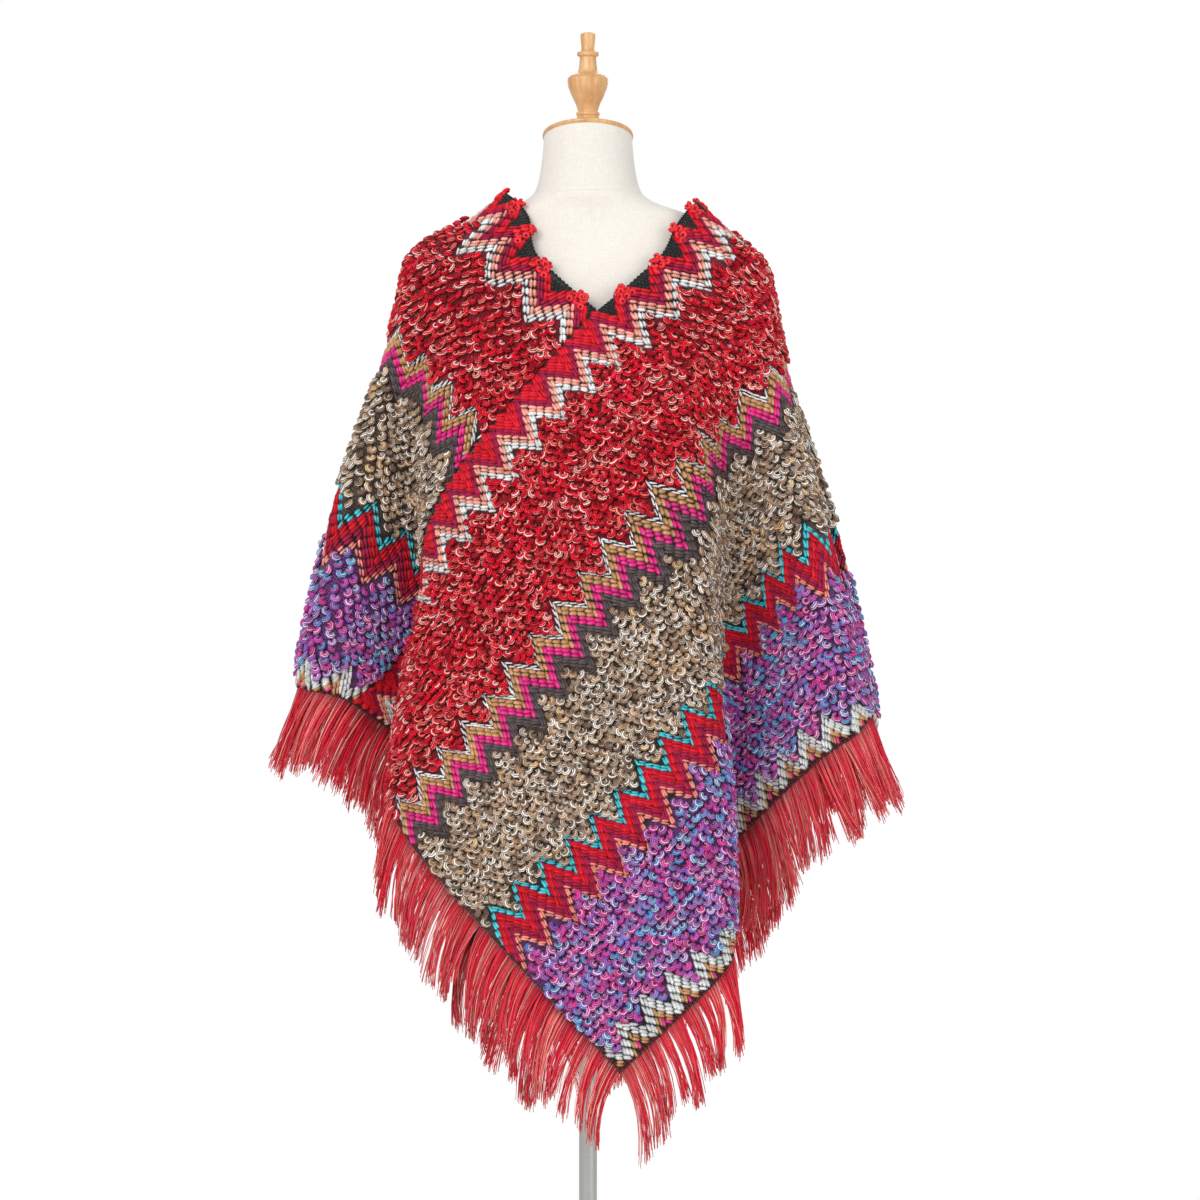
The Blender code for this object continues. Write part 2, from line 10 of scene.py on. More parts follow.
import bpy
import numpy as np
from bpy.props import FloatProperty, FloatVectorProperty, PointerProperty
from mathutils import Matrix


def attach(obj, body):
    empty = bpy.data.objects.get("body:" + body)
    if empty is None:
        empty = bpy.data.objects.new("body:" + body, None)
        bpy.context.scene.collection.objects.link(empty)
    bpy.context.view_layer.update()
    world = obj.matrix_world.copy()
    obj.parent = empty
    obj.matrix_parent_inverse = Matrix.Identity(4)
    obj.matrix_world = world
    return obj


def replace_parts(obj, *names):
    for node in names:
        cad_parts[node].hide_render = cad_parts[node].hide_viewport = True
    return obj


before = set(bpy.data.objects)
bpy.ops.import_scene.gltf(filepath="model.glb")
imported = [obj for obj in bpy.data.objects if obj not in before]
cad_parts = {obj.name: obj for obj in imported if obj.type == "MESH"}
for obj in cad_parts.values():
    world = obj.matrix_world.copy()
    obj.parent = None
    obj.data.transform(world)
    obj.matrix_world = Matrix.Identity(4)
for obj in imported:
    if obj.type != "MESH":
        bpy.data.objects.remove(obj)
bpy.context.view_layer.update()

bl_info = {
    "name": "Knitted poncho on a dress form",
    "version": (1, 0, 0),
    "blender": (4, 5, 0),
    "location": "View3D > Sidebar > Poncho",
    "description": "Builds the knit, fringe, form and studio around the packed frame",
    "category": "Object",
}

# Cut of the garment.
PANEL_WIDTH = 0.560
PANEL_LENGTH = 0.930
HALF_NECK_RUN = (PANEL_LENGTH - PANEL_WIDTH) / 2
SEAM_PARTING = 0.0007
SEAM_MARGIN = 0.0014

# How the cloth hangs: level sections, one row a height.
FRONT_POINT_HEIGHT = 1.300
SECTION_COLUMNS = (
    "height", "front_x", "front_y",
    "right_ridge_x", "right_ridge_y", "right_valley_x", "right_valley_y",
    "right_flank_x", "right_flank_y", "right_rim_x", "right_rim_y",
    "left_ridge_x", "left_ridge_y", "left_valley_x", "left_valley_y",
    "left_flank_x", "left_flank_y", "left_rim_x", "left_rim_y",
    "side_x", "side_y",
)
SECTION_ROWS = (
    (1.440, .010, -.030, .045, -.028, .064, -.022, .076, -.013, .080, -.007,
     .045, -.028, .064, -.022, .076, -.013, .080, -.007, .082, .000),
    (1.400, .010, -.050, .070, -.047, .100, -.037, .118, -.024, .126, -.012,
     .070, -.047, .100, -.037, .118, -.024, .126, -.012, .128, .000),
    (1.352, .010, -.071, .095, -.067, .140, -.052, .170, -.034, .183, -.016,
     .100, -.066, .142, -.050, .170, -.032, .183, -.014, .187, .000),
    (1.304, .010, -.091, .100, -.088, .148, -.070, .180, -.046, .193, -.022,
     .115, -.082, .162, -.056, .187, -.036, .196, -.018, .197, .000),
    (1.240, .013, -.114, .105, -.111, .152, -.078, .190, -.068, .208, -.034,
     .142, -.082, .180, -.048, .205, -.036, .213, -.016, .209, .002),
    (1.170, .015, -.134, .105, -.130, .153, -.066, .206, -.084, .226, -.050,
     .158, -.070, .184, -.030, .224, -.038, .236, -.016, .215, .000),
    (1.080, .018, -.148, .106, -.144, .154, -.052, .232, -.102, .252, -.068,
     .166, -.060, .178, -.014, .252, -.042, .266, -.014, .216, -.006),
    (0.990, .021, -.155, .110, -.150, .150, -.044, .258, -.114, .276, -.080,
     .174, -.056, .168, -.006, .273, -.044, .287, -.014, .218, -.010),
    (0.890, .024, -.158, .128, -.151, .144, -.048, .278, -.122, .296, -.088,
     .191, -.062, .180, -.008, .290, -.048, .305, -.018, .221, -.012),
    (0.770, .028, -.157, .142, -.150, .134, -.056, .286, -.126, .303, -.092,
     .206, -.072, .194, -.014, .295, -.052, .310, -.022, .223, -.014),
    (0.620, .031, -.152, .146, -.146, .130, -.062, .286, -.126, .303, -.092,
     .210, -.072, .196, -.014, .295, -.052, .310, -.022, .223, -.014),
    (0.440, .036, -.144, .146, -.139, .128, -.064, .286, -.126, .303, -.092,
     .210, -.072, .196, -.014, .295, -.052, .310, -.022, .223, -.014),
)
RIDGE_ROUNDNESS = 0.94
SIDE_LINE_ROWS = (
    (0.000, 1.424), (0.100, 1.352), (0.187, 1.272), (0.247, 1.221), (0.352, 1.112),
    (0.460, 0.993), (0.560, 0.880),
)
LEFT_SAG = 0.17
LEFT_SAG_ROUNDING = 0.03
LEFT_SAG_FADE = (0.30, 0.24)
RIGHT_HEM_SAG = 0.90
RIGHT_HEM_SAG_FROM = 0.24
TILT_AT_NECK = 0.048
TILT_AT_HEM = 0.075
TILT_CHANGE = (1.12, 0.24)
NECK_SHIFT = 0.014
NECK_SHIFT_CHANGE = (1.34, 0.07)
SHOULDER_SLOPE = 0.9
LAG_AT_SIDE = 0.8
SLOPE_STEP = 0.0015
GIRTH_STEP = 0.002
FRAME_STEP = 0.004
HALF_TURN = (-1.0, -1.0, 1.0)
DOWN = (0.0, 0.0, -1.0)

# Knitted wall, and how far it rises under the looped stripes.
WALL = 0.0014
LOOP_GROUND_RISE = 0.0012
GROUND_CELLS = (104, 62)

# Zigzag bands and the looped stripes between them, from the neck edge down. A
# level is a height across the panel before the cloth's stretch moves it.
ZIGZAG_HALF_HEIGHT = 0.0156
STITCHES_PER_LEG = 4
STITCH_STEEPNESS = 1.12
STITCH_TWIST = 0.20
STITCH_PLUMPNESS = 0.52
STITCH_CLEARANCE = 0.0042
STRIPE_RAMP = 0.004
STAGGER = 0.5
SEAM_STRANDS = 4
CLOSE_YARNS = ("red", "crimson", "burgundy", "charcoal")
CLOSE_REACH = 1.60
OPEN_REACH = 1.18
CLOSE_WIDTH = 1.70
OPEN_WIDTH = 1.52
# Period of each band's zigzag, and the place of one of its peaks.
ZIGZAGS = {
    "neck_zigzag": (0.0400, 0.470),
    "camel_zigzag": (0.0402, 0.141),
    "turquoise_zigzag": (0.0372, 0.022),
    "hem_zigzag": (0.0372, 0.000),
}
STRIPE_LEVELS = {
    "neck_zigzag": (0.5560, 0.5085),
    "red_loops": (0.5085, 0.3755),
    "camel_zigzag": (0.3755, 0.3185),
    "taupe_loops": (0.3185, 0.1985),
    "turquoise_zigzag": (0.1985, 0.1485),
    "violet_loops": (0.1485, 0.0300),
    "hem_zigzag": (0.0300, -0.0130),
}
# Strands of each band from the neck side down: yarn, depth in mm, height.
BAND_STRANDS = {
    "neck_zigzag": (
        ("red", 6.0, 1.0), ("red", 6.0, 1.0), ("burgundy", 5.5, 0.9), ("burgundy", 5.5, 0.9),
        ("salmon", 6.3, 1.1), ("salmon", 6.3, 1.1), ("white", 6.0, 1.1), ("white", 6.0, 1.1),
    ),
    "camel_zigzag": (
        ("gap", 0.9, 0.0), ("white", 3.6, 1.0), ("gap", 1.2, 0.0), ("white", 3.4, 1.0),
        ("gap", 0.8, 0.0), ("camel", 7.6, 1.0), ("camel", 7.6, 1.0), ("magenta", 7.4, 1.0),
        ("magenta", 7.4, 1.0), ("charcoal", 5.8, 0.8), ("charcoal", 5.8, 0.8),
        ("charcoal", 5.8, 0.8),
    ),
    "turquoise_zigzag": (
        ("gap", 0.8, 0.0), ("turquoise", 5.0, 1.2), ("turquoise", 5.0, 1.2), ("crimson", 6.0, 0.9),
        ("red", 6.0, 0.9), ("crimson", 6.0, 0.9), ("burgundy", 6.0, 0.9), ("burgundy", 6.0, 0.9),
        ("rose", 4.8, 1.2), ("rose", 4.8, 1.2), ("gap", 0.6, 0.0),
    ),
    "hem_zigzag": (
        ("silver", 7.0, 1.0), ("silver", 7.0, 1.0), ("silver", 7.0, 1.0), ("camel", 6.0, 1.0),
        ("camel", 6.0, 1.0), ("magenta", 6.0, 1.0), ("magenta", 6.0, 1.0),
    ),
}
# How far the stretch of the worn cloth moves its levels, in mm, along the panel.
# A row is s, then the moves at the five levels between the hem and the neck edge.
DRIFT_LEVELS = (0.000, 0.032, 0.160, 0.200, 0.377, 0.497, 0.560)
DRIFT_ROWS = (
    (0.00, 3, -1, -8, -34, -6), (0.06, 1, 0, 2, -30, -5), (0.14, -2, -2, -1, -24, -4),
    (0.22, -2, 4, -1, -11, -3), (0.32, 0, 11, 12, -2, -1), (0.36, 0, 9, 11, 2, 0),
    (0.45, 1, -8, -16, 11, 5), (0.50, -4, -6, -11, 13, 3), (0.55, -11, -4, -2, 10, 1),
    (0.60, -13, -3, 3, 0, -3), (0.67, -10, -2, 5, 1, -4), (0.79, -2, 0, 6, -2, 5),
    (0.93, 6, 0, 5, 15, 6),
)

# Yarn colours as they look, in sRGB from 0 to 255: body, a painted highlight and a painted shade.
YARNS = {
    "red": ((218, 12, 38), (240, 40, 60), (110, 6, 22)),
    "crimson": ((188, 10, 40), (214, 32, 58), (94, 6, 24)),
    "burgundy": ((160, 18, 62), (186, 38, 84), (80, 8, 36)),
    "salmon": ((246, 160, 142), (255, 198, 182), (150, 76, 70)),
    "rose": ((250, 140, 122), (255, 180, 162), (150, 66, 62)),
    "white": ((238, 242, 242), (255, 255, 255), (104, 110, 114)),
    "silver": ((216, 220, 218), (246, 248, 246), (86, 88, 92)),
    "camel": ((194, 142, 94), (224, 180, 134), (86, 58, 38)),
    "magenta": ((226, 30, 128), (246, 84, 162), (108, 12, 64)),
    "charcoal": ((78, 66, 68), (110, 96, 96), (38, 30, 32)),
    "turquoise": ((52, 200, 216), (112, 230, 240), (20, 90, 108)),
    "hem_chain": ((92, 28, 36), (140, 60, 60), (34, 14, 18)),
    "edge_black": ((38, 34, 36), (84, 80, 80), (14, 12, 14)),
    "picot": ((236, 18, 40), (250, 70, 76), (150, 12, 26)),
}
GROUND_YARNS = {
    "black": (30, 27, 30),
    "red_loops": (140, 10, 30),
    "taupe_loops": (88, 71, 60),
    "violet_loops": (106, 58, 120),
    "seam": (120, 10, 34),
}
# Strands of a loop's yarn: two body colours and a light one.
LOOP_YARNS = {
    "red_loops": (
        ((246, 14, 50), (206, 8, 38), (255, 196, 182)),
        ((230, 10, 42), (168, 6, 32), (255, 136, 128)),
        ((250, 28, 60), (222, 14, 46), (255, 222, 210)),
    ),
    "taupe_loops": (
        ((222, 192, 164), (152, 124, 104), (255, 254, 250)),
        ((198, 166, 140), (124, 100, 86), (255, 250, 240)),
        ((234, 194, 148), (172, 136, 106), (255, 255, 253)),
    ),
    "violet_loops": (
        ((204, 116, 204), (116, 146, 220), (246, 218, 248)),
        ((226, 68, 160), (156, 102, 198), (255, 184, 220)),
        ((100, 166, 224), (198, 82, 174), (204, 226, 250)),
    ),
}
LOOP_LIGHT_SHARE = 0.38
LOOP_SECOND_SHARE = 0.66

# Curled loops, stitches, the chains at the hems, and the neck edge. A jitter is
# the whole width of a random spread.
LOOP_PITCH = 0.0089
LOOP_ROW = 0.0077
LOOP_JITTER = (0.0032, 0.0018)
LOOP_CLEARANCE = 0.0040
LOOP_RADIUS = 0.00305
LOOP_YARN_RADIUS = 0.00315
LOOP_LIFT = 0.0024
LOOP_TILT = 1.02
LOOP_HALF_ARC = 145.0
LOOP_LABELS = 61
LOOP_SEGMENTS = 6
LOOP_SIDES = 4
LOOP_STRANDS = 7
STITCH_RINGS = (-0.22, 0.24)
STITCH_GIRTH = (1.0, 0.90)
CHAIN_LENGTH = 0.0046
CHAIN_OVERLAP = 1.02
CHAIN_WIDTH = 0.0025
CHAIN_HEIGHT = 0.0019
CHAIN_ROWS = (0.0016, 0.0040)
NECK_ROWS = 7
NECK_ROW = 0.0034
NECK_RUNG = 0.0036
PICOT_RADIUS = 0.0026
PICOT_YARN_RADIUS = 0.0021
PICOT_LIFT = 0.0030
PICOT_HALF_ARC = 160.0
# Picots about a peak: along the edge, and past it where positive.
PICOT_OFFSETS = (
    (-0.0042, -0.0046), (0.0044, -0.0040), (0.0000, -0.0006), (0.0006, -0.0090),
    (-0.0024, 0.0022), (0.0026, 0.0026), (-0.0060, -0.0100), (0.0062, -0.0096),
)

# Fringe.
LOCK_PITCH = 0.0185
THREAD_RINGS = 6
THREAD_SIDES = 3
THREAD_BEND = 0.55
HEM_SMOOTHING = 0.085
LEAN_FROM_HEM = 0.60
LEAN_OUTWARD = 0.50
FRINGE_YARNS = ((246, 28, 62), (246, 82, 96), (250, 134, 128), (255, 188, 176), (216, 16, 48))
FRINGE_SHARES = (0.40, 0.24, 0.16, 0.07, 0.13)

# Dress form.
NECK_LEAN = 0.25
NECK_LEAN_FROM = 1.452
LEAN_FADE = 0.006
NECK_TOP = 1.486
FINIAL_LEVEL_FROM = 1.506
NECK_SEAM_HEIGHT = 1.4285
NECK_SEAM_DEPTH = 0.0007
NECK_SEAM_WIDTH = 0.0006
# Lowest, highest and number of the cover's rings, closer toward the neck.
FORM_LEVELS = (
    (0.800, 1.380, 50), (1.380, 1.489, 56),
    (NECK_SEAM_HEIGHT - 0.002, NECK_SEAM_HEIGHT + 0.002, 13),
)
TORSO_ROWS = (
    (1.489, .0467, .0467, .000), (1.470, .0482, .0478, .000), (1.450, .0510, .0500, .000),
    (1.432, .0560, .0520, .000), (1.424, .0640, .0520, .000), (1.417, .0780, .0500, .000),
    (1.409, .1024, .0480, .000), (1.399, .1224, .0480, .000), (1.385, .1434, .0510, .000),
    (1.368, .1612, .0570, .000), (1.346, .1700, .0650, .000), (1.320, .1770, .0720, .000),
    (1.280, .1760, .0820, .000), (1.240, .1660, .0900, .000), (1.190, .1540, .0970, .000),
    (1.140, .1420, .0940, .000), (1.080, .1320, .0860, .000), (1.020, .1290, .0840, .002),
    (0.960, .1340, .0900, .004), (0.900, .1400, .0980, .004), (0.850, .1430, .1020, .004),
    (0.812, .1420, .1010, .004), (0.800, .1380, .0970, .004),
)
CAP_ROWS = (
    (0.0455, 1.4880), (0.0478, 1.4892), (0.0482, 1.4908), (0.0478, 1.4924), (0.0455, 1.4936),
    (0.0190, 1.4950),
)
FINIAL_ROWS = (
    (0.0138, 1.4956), (0.0130, 1.5060), (0.0130, 1.5088), (0.0118, 1.5096), (0.0118, 1.5120),
    (0.0126, 1.5130), (0.0126, 1.5152), (0.0108, 1.5168), (0.0124, 1.5230), (0.0178, 1.5345),
    (0.0212, 1.5440), (0.0218, 1.5500), (0.0196, 1.5540), (0.0150, 1.5562), (0.0104, 1.5600),
    (0.0092, 1.5680), (0.0088, 1.5740), (0.0116, 1.5760), (0.0116, 1.5790), (0.0080, 1.5806),
    (0.0070, 1.5840), (0.0080, 1.5950), (0.0080, 1.5985), (0.0060, 1.6000),
)
POLE_RADIUS = 0.0095
POLE_BOTTOM = 0.0166
POLE_TOP = 0.7994
BASE_ROWS = (
    (0.1500, 0.0000), (0.1500, 0.0050), (0.1470, 0.0080), (0.0300, 0.0120), (0.0160, 0.0160),
)

# Camera of the photograph: level, and centred on the frame.
CAMERA_PLACE = (0.0127, -4.5, 0.999)
VIEW_WIDTH = 1.272
SENSOR_WIDTH = 36.0

# Place and size of each soft light.
LIGHTS = {
    "key": ((-1.7, -3.2, 2.7), 2.4),
    "fill": ((2.6, -2.6, 1.5), 2.2),
    "back": ((0.6, 3.2, 2.4), 2.4),
}
FLOOR_COLOR = (244, 243, 241)

# The two panels: the back is the front turned half round.
PANELS = (("front", False), ("back", True))


def linear(color):
    """sRGB from 0 to 255 turned into linear colour, any array shape."""
    value = np.asarray(color, float) / 255.0
    return np.where(value <= 0.04045, value / 12.92, ((value + 0.055) / 1.055) ** 2.4)


def smooth_step(value):
    """Rise from 0 to 1 with level ends: 3u^2 - 2u^3."""
    u = np.clip(value, 0.0, 1.0)
    return u * u * (3.0 - 2.0 * u)


def noise(index, seed, low=0.0, spread=1.0):
    """Repeatable values from low to low + spread: the fraction of a large sine."""
    value = np.sin(np.asarray(index, float) * 12.9898 + seed * 78.233) * 43758.5453
    return low + spread * (value - np.floor(value))


def jitter(index, seed, width):
    """Repeatable values up to half the width to either side of 0."""
    return (noise(index, seed) - 0.5) * width


def mixed(low, high, share):
    """Values from low to high as the share goes from 0 to 1."""
    return low * (1.0 - share) + high * share


def drift(s, t, seed):
    """Slow change over the cloth, about 0 to 1: sines of s and t summed."""
    wave = np.sin(s * 41.0 + seed * 2.1 + 2.0 * np.sin(t * 33.0 + seed))
    wave = wave + np.sin(t * 57.0 - s * 23.0 + seed * 4.7)
    return 0.5 + 0.25 * wave


def unit(vectors):
    """Vectors scaled to length one along the last axis."""
    size = np.linalg.norm(vectors, axis=-1, keepdims=True)
    return vectors / np.maximum(size, 1e-9)


def blend(u, start, end, start_slope, end_slope):
    """Cubic from start to end with the given end slopes, u from 0 to 1."""
    u2 = u * u
    u3 = u2 * u
    return ((2 * u3 - 3 * u2 + 1) * start + (u3 - 2 * u2 + u) * start_slope
            + (3 * u2 - 2 * u3) * end + (u3 - u2) * end_slope)


def fair_curve(x, knots, values):
    """Monotone cubic through (knots, values), read at x."""
    x = np.clip(x, knots[0], knots[-1])
    step = np.diff(knots)
    rise = np.diff(values) / step
    slope = np.zeros(len(knots))
    slope[0] = rise[0]
    slope[-1] = rise[-1]
    for i in range(1, len(knots) - 1):
        if rise[i - 1] * rise[i] > 0.0:
            near = 2.0 * step[i] + step[i - 1]
            far = step[i] + 2.0 * step[i - 1]
            slope[i] = (near + far) / (near / rise[i - 1] + far / rise[i])
    i = np.clip(np.searchsorted(knots, x) - 1, 0, len(knots) - 2)
    u = (x - knots[i]) / step[i]
    return blend(u, values[i], values[i + 1], slope[i] * step[i], slope[i + 1] * step[i])


class Sections:
    """Level sections of the hanging cloth, stored at even steps of arc length."""

    HEIGHTS = np.linspace(0.44, 1.44, 141)
    STEPS = 201

    def __init__(self):
        rows = np.array(SECTION_ROWS)[::-1]
        knots = rows[:, 0]
        self.column = {}
        for k, name in enumerate(SECTION_COLUMNS):
            self.column[name] = fair_curve(self.HEIGHTS, knots, rows[:, k])
        self.table = {1: self.side_table("right", 1), -1: self.side_table("left", -1)}

    def side_table(self, side, sign):
        """Hermite curves through front, ridge, valley, flank, rim and side points."""
        col = self.column
        names = ("ridge", "valley", "flank", "rim")
        px = [col["front_x"] * sign] + [col["%s_%s_x" % (side, n)] for n in names]
        py = [col["front_y"]] + [col["%s_%s_y" % (side, n)] for n in names]
        px.append(col["side_x"])
        py.append(col["side_y"] * sign)
        points = np.stack([np.stack(px, 1), np.stack(py, 1)], -1)
        chord = np.linalg.norm(np.diff(points, axis=1), axis=-1)
        tangent = np.zeros_like(points)
        last = points.shape[1] - 1
        for i in range(1, last):
            before = (points[:, i] - points[:, i - 1]) / chord[:, i - 1, None]
            after = (points[:, i + 1] - points[:, i]) / chord[:, i, None]
            mean = before * chord[:, i, None] + after * chord[:, i - 1, None]
            size = np.linalg.norm(mean, axis=-1, keepdims=True)
            tangent[:, i] = mean / np.maximum(size, 1e-6) * RIDGE_ROUNDNESS
        tangent[:, 0] = (1.0, 0.0)
        tangent[:, last] = (0.0, 1.0)
        pieces = []
        for i in range(last):
            u = np.linspace(0.0, 1.0, 50, endpoint=(i == last - 1))[None, :, None]
            c = chord[:, i, None, None]
            pieces.append(blend(u, points[:, i, None], points[:, i + 1, None],
                                c * tangent[:, i, None], c * tangent[:, i + 1, None]))
        curve = np.concatenate(pieces, 1)
        run = np.cumsum(np.linalg.norm(np.diff(curve, axis=1), axis=-1), 1)
        arc = np.concatenate([np.zeros((len(run), 1)), run], 1)
        even = np.linspace(0.0, 1.0, self.STEPS)
        xs = np.stack([np.interp(even * a[-1], a, c[:, 0]) for a, c in zip(arc, curve)])
        ys = np.stack([np.interp(even * a[-1], a, c[:, 1]) for a, c in zip(arc, curve)])
        return xs, ys, arc[:, -1]

    def girth(self, height, side):
        """Arc length from the front centre to the side line at a height."""
        return np.interp(height, self.HEIGHTS, self.table[side][2])

    def point(self, run, height, side):
        """Plan position at an arc length from the front centre."""
        xs, ys, _ = self.table[side]
        row = (height - self.HEIGHTS[0]) / (self.HEIGHTS[1] - self.HEIGHTS[0])
        row = np.clip(row, 0.0, len(self.HEIGHTS) - 1.001)
        share = np.clip(run / self.girth(height, side), 0.0, 1.0)
        place = np.clip(share * (self.STEPS - 1), 0.0, self.STEPS - 1.001)
        i = row.astype(int)
        j = place.astype(int)
        a = row - i
        b = place - j
        read = []
        for table in (xs, ys):
            low = mixed(table[i, j], table[i, j + 1], b)
            high = mixed(table[i + 1, j], table[i + 1, j + 1], b)
            read.append(mixed(low, high, a))
        return side * read[0], read[1]


class Drape:
    """The worn position of every point of a panel, as the solids have it."""

    DIAGONAL = math.sqrt(0.5)

    def __init__(self):
        self.sections = Sections()
        heights = np.linspace(FRONT_POINT_HEIGHT, 0.45, 400)
        front_y = np.interp(heights, Sections.HEIGHTS, self.sections.column["front_y"])
        steps = np.hypot(np.diff(heights), np.diff(front_y))
        self.front_run = np.concatenate([[0.0], np.cumsum(steps)])
        self.front_heights = heights
        self.side_line = np.array(SIDE_LINE_ROWS)

    def fan_height(self, across, down, side):
        """Height where the panel's corner square hangs below the V."""
        height = np.interp(down, self.front_run, self.front_heights)
        if side > 0:
            return height - RIGHT_HEM_SAG * np.maximum(across - RIGHT_HEM_SAG_FROM, 0.0) ** 2
        fade = 1.0 - smooth_step((down - LEFT_SAG_FADE[0]) / LEFT_SAG_FADE[1])
        return height - LEFT_SAG * across ** 2 / (across + LEFT_SAG_ROUNDING) * fade

    def fan(self, s, t):
        """Corner square of the front panel, both sides of the front centre."""
        across = (s - t) * self.DIAGONAL
        down = (2 * PANEL_WIDTH - s - t) * self.DIAGONAL
        out = []
        for side in (1, -1):
            height = self.fan_height(np.abs(across), down, side)
            x, y = self.sections.point(np.abs(across), height, side)
            out.append(np.stack([x, y, height], -1))
        return np.where((across >= 0.0)[..., None], out[0], out[1])

    def strip(self, p, d, side):
        """Band over the shoulder, p from the square's edge, d from the neck."""
        run = d * self.DIAGONAL
        start = self.fan_height(run, run, side)
        step = SLOPE_STEP
        inside = np.maximum(run, 2.0 * step)
        rise = self.fan_height(inside + step, inside - step, side)
        rise = rise - self.fan_height(inside, inside, side)
        slope = rise / step * self.DIAGONAL * SHOULDER_SLOPE
        line = self.side_line
        end = fair_curve(d, line[:, 0], line[:, 1])
        u = p / HALF_NECK_RUN
        height = blend(u, start, end, slope * HALF_NECK_RUN, 0.0)
        girth = self.sections.girth(start, side)
        ahead = self.sections.girth(start + GIRTH_STEP, side)
        behind = self.sections.girth(start - GIRTH_STEP, side)
        change = (ahead - behind) / (2.0 * GIRTH_STEP)
        rate = self.DIAGONAL - change * slope
        end_rate = LAG_AT_SIDE * HALF_NECK_RUN
        lag = blend(u, run - girth, 0.0, rate * HALF_NECK_RUN, end_rate)
        reach = self.sections.girth(height, side) + np.minimum(lag, 0.0)
        x, y = self.sections.point(np.maximum(reach, 0.0), height, side)
        return np.stack([x, y, height], -1)

    def settle(self, place):
        """Tilt the worn cloth a little and slide its neck toward +X."""
        x, y, z = place[..., 0], place[..., 1], place[..., 2]
        high = smooth_step((z - TILT_CHANGE[0]) / TILT_CHANGE[1])
        tilt = TILT_AT_HEM + (TILT_AT_NECK - TILT_AT_HEM) * high
        moved = x + NECK_SHIFT * smooth_step((z - NECK_SHIFT_CHANGE[0]) / NECK_SHIFT_CHANGE[1])
        return np.stack([moved, y, z - tilt * x], -1)

    def panel(self, s, t, turned=False):
        """Worn position of cloth point (s, t), turned for the back panel."""
        s = np.asarray(s, float)
        t = np.asarray(t, float)
        d = PANEL_WIDTH - t
        square = self.fan(np.minimum(s, PANEL_WIDTH), t)
        near = self.strip(np.clip(s - PANEL_WIDTH, 0.0, HALF_NECK_RUN), d, 1)
        far = self.strip(np.clip(PANEL_LENGTH - s, 0.0, HALF_NECK_RUN), d, -1)
        far = far * np.array(HALF_TURN)
        past_side = (s > PANEL_WIDTH + HALF_NECK_RUN)[..., None]
        place = np.where((s <= PANEL_WIDTH)[..., None], square, np.where(past_side, far, near))
        if turned:
            place = place * np.array(HALF_TURN)
        return self.settle(place)

    def frame(self, s, t, turned=False):
        """Position, outward normal, and the s and t directions at (s, t)."""
        s0 = np.clip(s - FRAME_STEP, 0.0, PANEL_LENGTH)
        s1 = np.clip(s + FRAME_STEP, 0.0, PANEL_LENGTH)
        t0 = np.clip(t - FRAME_STEP, 0.0, PANEL_WIDTH)
        t1 = np.clip(t + FRAME_STEP, 0.0, PANEL_WIDTH)
        along = unit(self.panel(s1, t, turned) - self.panel(s0, t, turned))
        across = unit(self.panel(s, t1, turned) - self.panel(s, t0, turned))
        normal = unit(np.cross(along, across))
        return self.panel(s, t, turned), normal, along, across


DRAPE = Drape()


def zigzag(s, band):
    """Height of a band's zigzag at s: a triangle wave of the band's period."""
    period, peak = ZIGZAGS[band]
    turn = (s - peak) / period + 0.5
    saw = turn - np.floor(turn)
    return ZIGZAG_HALF_HEIGHT * (1.0 - 4.0 * np.abs(saw - 0.5))


def stretch(s, level):
    """How far the worn cloth's stretch moves a level, from DRIFT_ROWS."""
    rows = np.array(DRIFT_ROWS)
    flat = np.ravel(s)
    zero = np.zeros_like(flat)
    columns = [fair_curve(flat, rows[:, 0], rows[:, k]) / 1000.0 for k in range(1, rows.shape[1])]
    moved = np.stack([zero] + columns + [zero], -1)
    levels = np.array(DRIFT_LEVELS)
    height = np.clip(np.ravel(level), levels[0], levels[-1])
    k = np.clip(np.searchsorted(levels, height, side="right") - 1, 0, len(levels) - 2)
    share = (height - levels[k]) / (levels[k + 1] - levels[k])
    at = np.arange(len(flat))
    return mixed(moved[at, k], moved[at, k + 1], share).reshape(np.shape(s))


def level_to_cloth(s, level):
    """Cloth coordinate t of a pattern level."""
    return level + stretch(s, level)


def cloth_to_level(s, t):
    """Pattern level of a cloth coordinate t, found by a few steps."""
    level = t
    for _ in range(4):
        level = t - stretch(s, level)
    return level


def in_cloth(s, t, margin):
    """True where a cloth point lies on the panel, clear of its free edges.

    It may come closer to the seams, so that no bare line is left along them.
    """
    fits = (s > margin) & (s < PANEL_LENGTH - SEAM_MARGIN)
    top = PANEL_WIDTH - np.where(s < PANEL_WIDTH, SEAM_MARGIN, margin * 0.6)
    return fits & (t > margin) & (t < top)


def grid(rows, columns):
    """Row and column numbers of every cell of a grid."""
    return np.meshgrid(np.arange(rows), np.arange(columns), indexing="ij")


def faces_to_mesh(name, verts, *groups):
    """Smooth mesh from places and groups of faces, each (faces, corners of a face).

    Returns the mesh and the point number of every face corner.
    """
    corners = np.concatenate([group.ravel() for group in groups])
    sides = np.concatenate([np.full(len(group), group.shape[1]) for group in groups])
    mesh = bpy.data.meshes.new(name)
    mesh.vertices.add(len(verts))
    mesh.vertices.foreach_set("co", np.asarray(verts, np.float32).ravel())
    mesh.loops.add(len(corners))
    mesh.loops.foreach_set("vertex_index", corners.astype(np.int32))
    mesh.polygons.add(len(sides))
    mesh.polygons.foreach_set("loop_start", (np.cumsum(sides) - sides).astype(np.int32))
    mesh.polygons.foreach_set("use_smooth", np.ones(len(sides), bool))
    mesh.update(calc_edges=True)
    mesh.validate()
    return mesh, corners


